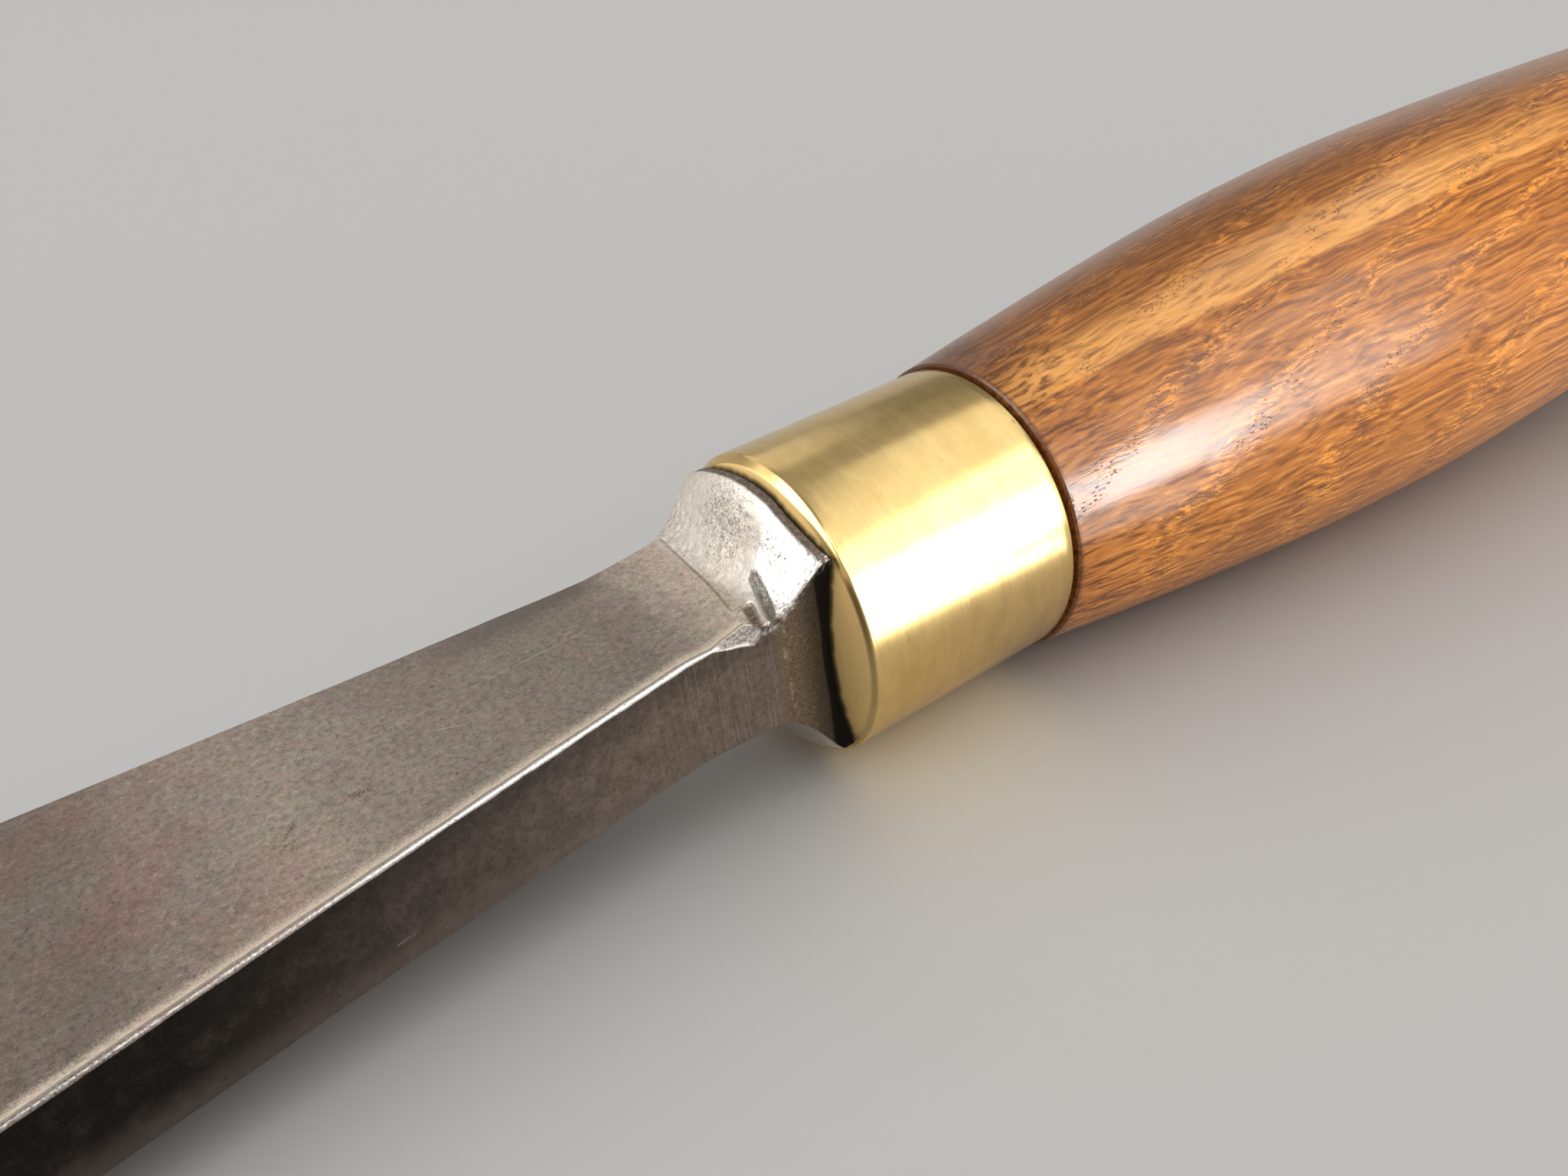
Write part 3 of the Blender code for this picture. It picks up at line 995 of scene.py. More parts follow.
def grain(vector, scale, detail, roughness=0.55, distortion=0.0):
    """Noise on coordinates that are stretched by one scale for each direction, per millimetre."""
    inputs = {
        "Vector": result("ShaderNodeMapping", {"Vector": vector, "Scale": scale}),
        "Scale": 1.0,
        "Detail": detail,
        "Roughness": roughness,
        "Distortion": distortion,
    }
    return result("ShaderNodeTexNoise", inputs)


def even_grain(vector, scale, detail, roughness=0.55):
    """Noise that is as fine in every direction."""
    return grain(vector, (scale, scale, scale), detail, roughness)


def blend(share, first, second):
    """Mix two colours."""
    return result("ShaderNodeMix", {0: share, 6: first, 7: second}, 2, data_type="RGBA")


def layered(colour, *layers):
    """Lay colours over a colour one after another, each by its own share."""
    for share, over in layers:
        colour = blend(share, colour, over)
    return colour


def tone_along(value, stops):
    """A level read from (place, level) pairs, eased between them."""
    low, high = stops[0][0], stops[-1][0]
    ramp = node(value.tree, "ShaderNodeValToRGB", {"Fac": (value - low) / (high - low)})
    ramp.color_ramp.interpolation = "EASE"
    elements = ramp.color_ramp.elements
    for place, level in stops[1:-1]:
        elements.new((place - low) / (high - low))
    for element, (place, level) in zip(sorted(elements, key=lambda e: e.position), stops):
        element.color = (level / TONE_RANGE, level / TONE_RANGE, level / TONE_RANGE, 1.0)
    return Value(value.tree, ramp.outputs["Color"]) * TONE_RANGE


def dress(shader, colour, rough, relief, strength, distance):
    """Give a shader its colour, its roughness and a bump whose distance is in millimetres."""
    bump = result("ShaderNodeBump", {"Height": relief, "Strength": strength, "Distance": distance * MM})
    for name, value in (("Base Color", colour), ("Roughness", rough), ("Normal", bump)):
        value.tree.links.new(value.socket, shader.inputs[name])


# %% [markdown]
# ## Old steel
# Old tool steel is grey with a warm patina, peppered with tiny pits, and crossed by fine scratches that run
# along it. Its tone drifts along the top, which a ramp of levels gives. The sides are dark patina, made
# darker still, nearly black at the cutting end, as a painted reflection of dark surroundings. The arrises are
# worn bright, and their brightness, peaking in the middle of each arris, is partly a painted highlight, with
# a painted peach sheen beside the right arris. The strokes of wear hold brown rust, the rim turns black
# against the ferrule as a painted shadow in the gap, and the bevel is freshly ground, with a honed strip at
# the edge.
# The base is a metal whose colour and roughness follow those masks. Single long scratches are drawn by the
# distance from a line between two points, as a person would rule them.

# %% Scratch group
SCRATCH_SOCKETS = {"Vector": VECTOR, "Start": VECTOR, "End": VECTOR, "Width": FLOAT}

scratch, given = new_effect("scratch", SCRATCH_SOCKETS, ["Mask"])
leg = vector_maths("SUBTRACT", given["End"], given["Start"])
away = vector_maths("SUBTRACT", given["Vector"], given["Start"])
leg_square = vector_maths("DOT_PRODUCT", leg, leg, "Value")
share = clamped(vector_maths("DOT_PRODUCT", away, leg, "Value") / leg_square)
gap = vector_maths("DISTANCE", away, scaled(leg, share), "Value")
broken = even_grain(given["Vector"], 1.3, 3.0)
wide = given["Width"] * ease(broken, 0.3, 0.6)
node(scratch, "NodeGroupOutput", {"Mask": ease(gap, 0.0, wide, 1.0, 0.0)})


def drawn_lines(where, lines):
    """All the lines of a list as one mask."""
    masks = [effect(scratch, where, Start=start, End=end, Width=width)["Mask"] for start, end, width in lines]
    total = masks[0]
    for mask in masks[1:]:
        total = maths("MAXIMUM", total, mask)
    return total


print("effect:", scratch.name)

# %% Steel: masks and grain
steel, tree, shader = new_finish("old_steel")
where = tool_coordinates(tree)
along, across, height = split(where)
arris_wear_and_highlight, stained = attribute(tree, "worn"), attribute(tree, "stain")
side_face, flare_face = attribute(tree, "side"), attribute(tree, "flare")
rim, facet, burr_face = attribute(tree, "rim"), attribute(tree, "facet"), attribute(tree, "burr")
bevel_face = attribute(tree, "bevel")
inward = (1.0 - attribute(tree, "shoulder")) * SHOULDER_REACH

soft_grain = even_grain(where, 2.4, 3.0, 0.6)
sharp_grain = even_grain(where, 8.0, 3.0, 0.65)
mottle = (soft_grain + sharp_grain) * 0.5
cloud = even_grain(where, 0.8, 6.0, 0.65)
grit = even_grain(where, 6.5, 4.0, 0.66)
print("steel nodes for masks and grain:", len(tree.nodes))

# %% Steel: top
PATINA = (0.405, 0.331, 0.276, 1.0)
PATINA_ROSE = (0.40, 0.295, 0.262, 1.0)
PATINA_RED = (0.40, 0.238, 0.192, 1.0)
PATINA_OLIVE = (0.335, 0.312, 0.222, 1.0)
PATINA_DARK = (0.17, 0.14, 0.118, 1.0)
FLECK = (0.62, 0.54, 0.46, 1.0)
# A pale peach for the painted sheen beside the right arris.
PEACH_SHEEN = (0.95, 0.79, 0.62, 1.0)
# Places along the blade, and how light the top is there.
TOP_TONE = [
    (20.0, 0.80),
    (42.0, 0.66),
    (46.5, 0.68),
    (52.0, 0.95),
    (58.0, 1.20),
    (64.0, 1.00),
    (70.0, 0.93),
    (75.0, 0.85),
    (80.0, 0.83),
    (82.0, 0.97),
    (84.0, 1.32),
    (85.5, 1.60),
    (87.2, 1.85),
]

rosy = effect(patches, where, Size=1.9, Edge=0.14)["Mask"]
olive_at = vector_maths("ADD", where, (31.0, 0.0, 0.0))
olive = effect(patches, olive_at, Size=1.3, Edge=0.14)["Mask"]
flushed = effect(patches, where, Size=6.0, Edge=0.16)["Mask"] * ease(along, 50.0, 62.0, 0.75, 0.2)
slow = effect(patches, where, Size=5.0, Edge=0.16)["Mask"]
rubbed = effect(fine_lines, where, Stretch=(0.12, 5.0, 5.0), Amount=0.4)
left_dark = ease(along, 66.0, 75.0) * ease(along, 80.5, 83.0, 1.0, 0.0)
top = layered(
    PATINA,
    (rosy * 0.9, PATINA_ROSE),
    (olive * 0.75, PATINA_OLIVE),
    (flushed, PATINA_RED),
    (slow * 0.25, PATINA_DARK),
    (rubbed["Lines"] * 0.1, FLECK),
    (ease(cloud, 0.38, 0.6, 0.18, 0.0), PATINA_DARK),
    (ease(mottle, 0.37, 0.52, 0.75, 0.0), PATINA_DARK),
    (ease(mottle, 0.52, 0.66, 0.0, 0.45), FLECK),
    (left_dark * ease(across, 4.2, 6.2, 0.0, 0.6), PATINA_DARK),
)
top = scaled(top, tone_along(along + (cloud - 0.5) * 3.0, TOP_TONE))
# The peach band beside the right arris is a painted sheen next to the arris highlight.
ragged = inward + (soft_grain - 0.5) * 0.9
flecked = ease(inward, 0.2, 1.3, 0.5, 0.0) * ease(sharp_grain, 0.44, 0.64)
top = layered(
    top,
    (flecked, PEACH_SHEEN),
    (ease(ragged, 0.0, 0.95, 0.72, 0.0), PEACH_SHEEN),
    (ease(inward, 0.08, 0.17, 0.65, 0.0), PATINA_DARK),
)
print("steel nodes with the top:", len(tree.nodes))

# %% Steel: sides
# Side colours: dark patina, darkened further as a painted reflection of dark surroundings.
SIDE_NEAR = (0.345, 0.27, 0.223, 1.0)
SIDE_FAR = (0.021, 0.017, 0.014, 1.0)
SIDE_DARK = (0.012, 0.010, 0.008, 1.0)
TOP_AT_EDGE = NECK_THICKNESS - NECK_AT * TOP_SLOPE

ground = effect(fine_lines, where, Stretch=(6.0, 1.0, 0.2), Amount=0.6)
striped = ease(ground["Height"], 0.36, 0.6, 0.28, 0.0)
near_neck = ease(along, 72.0, 84.0)
below = along * TOP_SLOPE + TOP_AT_EDGE - height
# The side is painted nearly black at the cutting end and lighter towards the neck, a painted reflection of
# dark surroundings over dark patina. The layers by height make it darker towards its top and lighter towards
# its foot.
side = layered(
    SIDE_FAR,
    (ease(along, 46.0, 86.0), SIDE_NEAR),
    (ease(cloud, 0.34, 0.64, 0.24, 0.0), SIDE_DARK),
    (ease(cloud, 0.46, 0.74, 0.0, 0.1), SIDE_NEAR),
    (ease(mottle, 0.38, 0.6, 0.34, 0.0), SIDE_DARK),
    (ease(below, 0.4, 3.2, 0.42, 0.0), SIDE_DARK),
    (ease(sharp_grain, 0.6, 0.72, 0.0, 0.1), PATINA),
    (ease(height, 0.2, 2.6, 0.3, 0.0), SIDE_NEAR),
    (ground["Lines"] * near_neck * 0.4, PATINA),
    (striped * near_neck, SIDE_DARK),
)
colour = blend(side_face, top, side)
print("steel nodes with the sides:", len(tree.nodes))

# %% Steel: flare
FLARE_LOW = (0.28, 0.235, 0.19, 1.0)
FLARE_GREY = (0.64, 0.58, 0.505, 1.0)
FLARE_HIGH = (0.86, 0.81, 0.75, 1.0)
BARE_STEEL = (0.88, 0.85, 0.81, 1.0)
RUST = (0.26, 0.187, 0.12, 1.0)
# Near black for pits, and for the painted shadow in the gap at the ferrule.
BLACK_PITS_AND_SHADOW = (0.02, 0.016, 0.012, 1.0)
FLARE_TONE = [(87.4, 1.0), (88.3, 0.86), (89.2, 0.95), (90.2, 1.2), (91.4, 1.3)]
PUNCHED_AT = (89.9, 0.6, 0.0)
PUNCH_STRETCH = (1.0, 0.62, 0.0)

uneven = grit + (soft_grain - 0.5) * 0.5
punch = vector_maths("MULTIPLY", vector_maths("SUBTRACT", where, PUNCHED_AT), PUNCH_STRETCH)
punch = vector_maths("LENGTH", punch, output="Value") + (soft_grain - 0.5) * 1.6
punched = ease(punch, 0.9, 1.9, 1.0, 0.3)
flare_top = layered(
    FLARE_GREY,
    (ease(uneven, 0.38, 0.52, 0.85, 0.0) * punched, FLARE_LOW),
    (ease(uneven, 0.52, 0.64, 0.0, 0.7) * punched, FLARE_HIGH),
)
flare_top = scaled(flare_top, tone_along(along, FLARE_TONE))
polished = ease(facet + (soft_grain - 0.5) * 2.2, 0.4, 0.6)
specks = ease(even_grain(where, 4.2, 3.0, 0.6), 0.37, 0.43, 0.8, 0.0)
flare_top = layered(flare_top, (polished, BARE_STEEL), (specks * polished, PATINA_DARK))
chipped = ease(even_grain(where, 4.5, 4.0, 0.7), 0.61, 0.7)
flare_side = layered(
    RUST,
    (chipped * 0.6, FLARE_HIGH),
    (ease(sharp_grain, 0.38, 0.56, 0.5, 0.0), BLACK_PITS_AND_SHADOW),
    # The side flare turns black towards the rim: painted shadow in the gap at the ferrule.
    (ease(along, 88.4, 90.8, 0.0, 0.75), BLACK_PITS_AND_SHADOW),
)
colour = blend(flare_face, colour, blend(side_face, flare_top, flare_side))
print("steel nodes with the flare:", len(tree.nodes))

# %% Steel: rim, filed arris and bevel
RIM_BROWN = (0.17, 0.135, 0.105, 1.0)
RIM_DUST = (0.29, 0.24, 0.195, 1.0)
BURR_LOW = (0.24, 0.205, 0.18, 1.0)
BURR_HIGH = (0.58, 0.53, 0.475, 1.0)
BEVEL_LOW = (0.36, 0.325, 0.29, 1.0)
BEVEL_HIGH = (0.62, 0.58, 0.53, 1.0)
HONED_STRIP = 1.1

# On the sides the rim is painted black, as shadow in the gap at the ferrule.
rim_colour = layered(RIM_BROWN, (ease(mottle, 0.45, 0.6), RIM_DUST), (side_face, BLACK_PITS_AND_SHADOW))
burr_colour = blend(ease(grit, 0.4, 0.62), BURR_LOW, BURR_HIGH)
wheel = effect(fine_lines, where, Stretch=(0.25, 7.0, 0.25), Amount=0.8)
honed = ease(along, HONED_STRIP, HONED_STRIP + 0.3, 1.0, 0.0) * bevel_face
bevel_colour = blend(ease(wheel["Height"], 0.36, 0.62), BEVEL_LOW, BEVEL_HIGH)
bevel_colour = blend(honed * 0.75, bevel_colour, BARE_STEEL)
# The top of the rim mask is painted black as shadow in the gap at the ferrule.
colour = layered(
    colour,
    (ease(rim, 0.0, 0.7), rim_colour),
    (ease(rim, 0.7, 1.0), BLACK_PITS_AND_SHADOW),
    (burr_face, burr_colour),
    (bevel_face, bevel_colour),
)
print("steel nodes with rim and bevel:", len(tree.nodes))

# %% Steel: pits, lines and bare edges
RUST_SPOT = (0.10, 0.062, 0.034, 1.0)
GOUGE = (0.085, 0.064, 0.043, 1.0)
ARRIS_TONE = [(46.0, 0.55), (56.0, 0.62), (66.0, 0.88), (71.0, 1.0)]
# Each line: its start, its end and its width.
SCRATCHES = [
    ((61.6, 1.98, 6.86), (68.5, 1.48, 7.16), 0.09),
    ((68.5, 1.48, 7.16), (79.24, 1.21, 7.61), 0.09),
    ((67.24, -0.38, 7.1), (69.0, -1.46, 7.18), 0.11),
    ((46.8, 7.1, 6.25), (47.51, 6.88, 6.28), 0.12),
    ((60.5, -9.41, 1.72), (61.57, -9.27, 1.75), 0.12),
]
RUST_SPOTS = [
    ((62.2, -2.6, 6.89), (62.85, -3.0, 6.92), 0.8),
    ((57.6, -3.53, 6.7), (57.98, -3.7, 6.72), 1.1),
    ((57.9, -3.3, 6.71), (58.7, -2.2, 6.75), 0.4),
    ((71.4, 4.6, 7.28), (71.6, 4.5, 7.29), 0.3),
    ((77.2, -3.1, 7.52), (77.35, -3.2, 7.53), 0.28),
]

pits = effect(fine_pits, where, Stretch=(3.2, 3.2, 3.2), Amount=0.05)["Pits"]
spotted = drawn_lines(where, RUST_SPOTS) * ease(sharp_grain, 0.4, 0.55, 0.75, 0.15)
ruled = drawn_lines(where, SCRATCHES)
crystals = ease(grain(where, (5.5, 9.0, 9.0), 3.0, 0.7), 0.42, 0.6, 0.9, 0.0)
crystals = crystals * ease(along, 54.0, 68.0, 1.0, 0.0)
# The worn arris is bare steel, and its brightness peaking mid-arris is partly a painted highlight.
rubbed_edge_and_highlight = arris_wear_and_highlight * ease(sharp_grain, 0.35, 0.44, 0.2, 1.0)
rubbed_edge_and_highlight = clamped(rubbed_edge_and_highlight - crystals * arris_wear_and_highlight)
bright = maths("MAXIMUM", ruled * 0.26, rubbed_edge_and_highlight)
arris = scaled(BARE_STEEL[:3], tone_along(along, ARRIS_TONE))
gouged = stained * ease(sharp_grain, 0.4, 0.62, 0.95, 0.6)
colour = layered(
    colour,
    (pits * 0.45, BLACK_PITS_AND_SHADOW),
    (spotted, RUST_SPOT),
    (bright, arris),
    (gouged, GOUGE),
)
print("steel nodes with pits and lines:", len(tree.nodes))

# %% Steel: roughness and relief
STEEL_METALLIC = 0.94

rough = clamped(mottle * 0.25 + 0.3 - bright * 0.1)
rough = rough - polished * 0.1
rough = rough - (bevel_face + honed) * 0.08
rough = rough + (burr_face + stained) * 0.2
rough = clamped(rough + rim * 0.5)
coarse = maths("MAXIMUM", flare_face * (1.0 - side_face), burr_face)
relief = rubbed["Height"] * 0.3 + sharp_grain * 0.7 - pits
relief = relief + grit * coarse * 1.6
relief = relief + ground["Height"] * side_face * 0.5
relief = relief + wheel["Height"] * bevel_face * 0.8
dress(shader, colour, rough, relief, strength=0.5, distance=0.03)
shader.inputs["Metallic"].default_value = STEEL_METALLIC
print("steel nodes:", len(tree.nodes))

# %% Finish the blade
blade = run_tree(
    "forged_blade",
    blade_mesh,
    forged_skin,
    {
        "Wave Depth": 0.06,
        "Wave Size": 7.0,
        "Pit Depth": 0.10,
        "Pit Size": 0.5,
        "Seed": (3.0, 5.0, 1.0),
        "Finish": steel,
    },
)
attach(blade, "root")
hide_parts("blade")
link_light(off_blade, blade, "EXCLUDE")
print("blade:", len(blade.data.polygons), "faces")

# %% [markdown]
# ## Turned brass
# The ferrule is a short cup, turned on a lathe and polished with fine paper while it spun, so its scratches
# run round it. Its front edge is a worn chamfer, widest over the top. Brass is a metal with a yellow base
# colour. The circular brushing is a noise that changes fast along the axis and slowly round it, and it feeds
# the bump and the roughness, which draws the highlight out across the tool.

# %% Brass finish
BRASS = (0.80, 0.555, 0.215, 1.0)
BRASS_PALE = (0.88, 0.66, 0.31, 1.0)
# A lighter brass that paints light onto the ferrule's front face.
BRASS_FACE = (0.95, 0.70, 0.32, 1.0)
BRASS_TARNISH = (0.46, 0.32, 0.11, 1.0)
# Dark brass for the small specks, and for the painted shadow in the joint at the bolster.
BRASS_SPECKS_AND_SHADOW = (0.03, 0.021, 0.01, 1.0)

brass, tree, shader = new_finish("turned_brass")
where = tool_coordinates(tree)
turning = effect(fine_lines, where, Stretch=(12.0, 0.12, 0.12), Amount=0.7)
slow = effect(patches, where, Size=6.0, Edge=0.25)["Mask"]
round_at = vector_maths("MULTIPLY", where, (1.0, 0.5, 0.5))
dull = effect(patches, round_at, Size=1.4, Edge=0.12)["Mask"]
specks = effect(fine_pits, where, Stretch=(3.0, 1.4, 1.4), Amount=0.035)["Pits"]
# The joint mask paints shadow onto the brass next to the bolster's rear edge.
joint_shadow = attribute(tree, "joint_shadow")
centred = vector_maths("SUBTRACT", where, (FERRULE_AT, 0.0, AXIS_HEIGHT))
on_front = ease(split(centred)[0], -0.12, -0.22)
# The front face gets a lighter brass: painted light on a face that the lamps hardly reach.
colour = layered(
    BRASS,
    (slow * 0.5, BRASS_PALE),
    (ease(turning["Height"], 0.35, 0.55, 0.14, 0.0), BRASS_TARNISH),
    (dull * 0.22, BRASS_TARNISH),
    (specks * 0.45, BRASS_SPECKS_AND_SHADOW),
    (on_front * 0.7, BRASS_FACE),
    (joint_shadow, BRASS_SPECKS_AND_SHADOW),
)

flat = vector_maths("MULTIPLY", centred, (0.0, 1.0, 1.0))
rings_at = joined(vector_maths("LENGTH", flat, output="Value") * 9.0)
facing = result("ShaderNodeTexNoise", {"Vector": rings_at, "Scale": 1.0, "Detail": 3.0})
relief = turning["Height"] + facing * on_front * 1.5 - specks
rough = clamped(turning["Height"] * 0.16 + 0.13 + on_front * 0.4 + joint_shadow * 0.4)
dress(shader, colour, rough, relief, strength=0.11, distance=0.02)
shader.inputs["Metallic"].default_value = 1.0
print("brass nodes:", len(tree.nodes))

# %% Lathe helpers
TURNED_STEPS = 320
SHARP_ANGLE = math.radians(30.0)


def rounded(centre, radius, start, end, count):
    """Points of an arc in a profile, as (radius, height) pairs, from one angle to another in degrees."""
    turns = np.radians(np.linspace(start, end, count))
    return [(centre[0] + radius * math.cos(t), centre[1] + radius * math.sin(t)) for t in turns]


def profile_mesh(name, profile):
    """A profile of (radius, height) pairs as a mesh of bare points."""
    mesh = bpy.data.meshes.new(name)
    mesh.from_pydata([(radius, 0.0, height) for radius, height in profile], [], [])
    return mesh


def crisp(piece, angle):
    """Face outwards, and shade smooth with crisp edges past an angle."""
    shape = bmesh.new()
    shape.from_mesh(piece.data)
    bmesh.ops.recalc_face_normals(shape, faces=shape.faces)
    shape.to_mesh(piece.data)
    shape.free()
    piece.data.shade_smooth()
    piece.data.set_sharp_from_angle(angle=angle)


def turn_on_lathe(name, profile, start, wobble, wobble_size, finish):
    """Run a profile through the turned piece tree."""
    values = {
        "Steps": TURNED_STEPS,
        "Axis Start": (start, 0.0, AXIS_HEIGHT),
        "Wobble": wobble,
        "Wobble Size": wobble_size,
        "Finish": finish,
    }
    piece = run_tree(name, profile_mesh(name + "_profile", profile), turned_piece, values)
    crisp(piece, SHARP_ANGLE)
    return piece


def evenly(first, last, count):
    """Points between two profile points, the last one left out."""
    shares = np.linspace(0.0, 1.0, count + 1)[:-1]
    return [(mix(first[0], last[0], share), mix(first[1], last[1], share)) for share in shares]


# %% Ferrule
CLEARANCE = 0.3
FERRULE_LENGTH = 17.4
FERRULE_WALL = 1.5
FERRULE_FRONT = 2.0
FERRULE_CHAMFER = 0.55
CHAMFER_EDGE = 0.3
EDGE_RING = 0.06
REAR_EDGE = 0.15
HOLE_RADIUS = TANG_ROOT / 2 * math.sqrt(2.0) + CLEARANCE
WALL_STEPS = 24
FRONT_RINGS = 40
FERRULE_WOBBLE = (0.003, 9.0)

bore = FERRULE_RADIUS - FERRULE_WALL
chamfer_end = FERRULE_RADIUS - FERRULE_CHAMFER
chamfer_top = FERRULE_CHAMFER - dome_lead(chamfer_end) + CHAMFER_EDGE * math.tan(math.pi / 8)
front_arc = rounded((FERRULE_RADIUS - CHAMFER_EDGE, chamfer_top), CHAMFER_EDGE, 0.0, -45.0, 7)
dome_rings = [chamfer_end, *np.linspace(chamfer_end - EDGE_RING, HOLE_RADIUS, FRONT_RINGS)]
dome_front = [(r, -dome_lead(r)) for r in dome_rings]
rear_arc = rounded((FERRULE_RADIUS - REAR_EDGE, FERRULE_LENGTH - REAR_EDGE), REAR_EDGE, 90.0, 0.0, 4)
ferrule_profile = [
    *rear_arc[:-1],
    *evenly(rear_arc[-1], front_arc[0], WALL_STEPS),
    *front_arc[:-1],
    *evenly(front_arc[-1], dome_front[0], 3),
    *dome_front,
    (HOLE_RADIUS, FERRULE_FRONT),
    (bore, FERRULE_FRONT),
    (bore, FERRULE_LENGTH),
    rear_arc[0],
]
ferrule = turn_on_lathe("brass_ferrule", ferrule_profile, FERRULE_AT, *FERRULE_WOBBLE, brass)
print("ferrule turned:", len(ferrule.data.polygons), "faces")

# %% Worn chamfer and painted joint shadow
UNWORN_SHARE = 0.12
# Degrees round the ferrule, from the near side over the top, where the worn part begins and ends.
WORN_FROM = (30.0, 75.0)
WORN_TO = (140.0, 175.0)


def narrow_chamfer(points):
    """Narrow the front chamfer of the turned cup away from its worn top."""
    y, z = points[:, 1], points[:, 2] - AXIS_HEIGHT
    radius = np.hypot(y, z)
    turn = np.degrees(np.arctan2(z, -y))
    worn_top = smooth(turn, *WORN_FROM) * (1.0 - smooth(turn, *WORN_TO))
    leg = FERRULE_CHAMFER * mix(UNWORN_SHARE, 1.0, worn_top)
    front = points[:, 0] < FERRULE_AT + FERRULE_CHAMFER
    front &= radius > FERRULE_RADIUS - FERRULE_CHAMFER - 1.4 * EDGE_RING
    share = np.clip((FERRULE_RADIUS - radius) / FERRULE_CHAMFER, 0.0, 1.0)
    thinner = (FERRULE_CHAMFER - leg) * share
    ahead = dome_lead(FERRULE_RADIUS - leg) - dome_lead(FERRULE_RADIUS - FERRULE_CHAMFER)
    ahead = ahead + (1.0 - share) * (FERRULE_CHAMFER - leg)
    points[front, 0] -= ahead[front]
    grown = (1.0 + thinner / radius)[front, None]
    points[front, 1:] = (points[front, 1:] - [0.0, AXIS_HEIGHT]) * grown + [0.0, AXIS_HEIGHT]


ferrule_points = np.array([TOOL_TO_WORLD.inverted() @ vertex.co for vertex in ferrule.data.vertices])
narrow_chamfer(ferrule_points)
for vertex, point in zip(ferrule.data.vertices, ferrule_points):
    vertex.co = TOOL_TO_WORLD @ Vector(point)
crisp(ferrule, SHARP_ANGLE)
# Brass close to the bolster's rear edge is marked for a painted shadow in the joint.
in_joint = 1.0 - smooth(distance_to(ferrule_points[None], skin[-1])[0], 0.12, 0.45)
store(ferrule.data, "joint_shadow", in_joint * (ferrule_points[:, 0] < FERRULE_AT))
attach(ferrule, "root")
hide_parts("ferrule")
print("ferrule:", len(ferrule.data.polygons), "faces")

# %% [markdown]
# ## Oiled wood
# The handle is a ring-porous hardwood. In the tree it was a stack of curved growth rings, and the lathe cut
# through them, so the figure on the surface is best made as a solid: planes of growth through the handle,
# bent by noise, that the round surface slices. Each ring starts with a band of open pores in an orange
# ground and ends in dense brown wood. Fibres run along the axis, and a clear oil finish adds the gloss.

# %% Wood: rings and fibres
RING_NORMAL = (0.216, -0.931, -0.296)
RING_WIDTH = 5.0
RING_START = 29.5
PALE_NORMAL = (0.0, -0.819, -0.574)

wood, tree, shader = new_finish("oiled_wood")
where = tool_coordinates(tree)
along = split(where)[0]
axis_centred = vector_maths("SUBTRACT", where, (0.0, 0.0, AXIS_HEIGHT))

sway = (grain(where, (0.08, 0.2, 0.2), 3.0) - 0.5) * 3.0
depth = vector_maths("DOT_PRODUCT", axis_centred, RING_NORMAL, "Value")
phase = maths("FRACT", (depth + sway - RING_START) / RING_WIDTH)
early = ease(phase, 0.32, 0.5) * ease(phase, 0.62, 0.8, 1.0, 0.0)
# The pale gold band through the handle is partly lighter wood and partly a painted sheen from above.
pale_depth = vector_maths("DOT_PRODUCT", axis_centred, PALE_NORMAL, "Value") + sway * 0.25
pale = ease(pale_depth, -6.2, -2.2) * ease(pale_depth, -0.95, -0.7, 1.0, 0.0)
pale = pale * ease(along, 145.0, 190.0, 1.0, 0.2)

wavy = result("ShaderNodeMapping", {"Vector": where, "Scale": (0.13, 0.2, 0.2)})
wave = result("ShaderNodeTexNoise", {"Vector": wavy, "Scale": 1.0, "Detail": 1.0}, "Color")
bend = vector_maths("MULTIPLY", vector_maths("SUBTRACT", wave, (0.5, 0.5, 0.5)), (0.0, 1.4, 1.4))
bent = vector_maths("ADD", where, bend)
fibre = grain(bent, (0.06, 2.8, 2.8), 5.0, 0.6)
fleck = grain(bent, (0.55, 3.2, 3.2), 4.0, 0.6, 0.25)
streak = grain(bent, (0.035, 0.8, 0.8), 4.0, 0.6)
print("wood nodes for rings and fibres:", len(tree.nodes))

# %% Wood: colour
HANDLE_AT = FERRULE_AT + FERRULE_LENGTH + CLEARANCE
WOOD_BROWN = (0.19, 0.063, 0.013, 1.0)
WOOD_ORANGE = (0.355, 0.126, 0.023, 1.0)
WOOD_GOLD = (0.70, 0.345, 0.093, 1.0)
WOOD_FLAME = (0.66, 0.25, 0.036, 1.0)
WOOD_DARK = (0.075, 0.026, 0.009, 1.0)
WOOD_HEART = (0.11, 0.04, 0.012, 1.0)
WOOD_TONE = [(135.0, 1.0), (165.0, 1.14), (190.0, 1.1)]

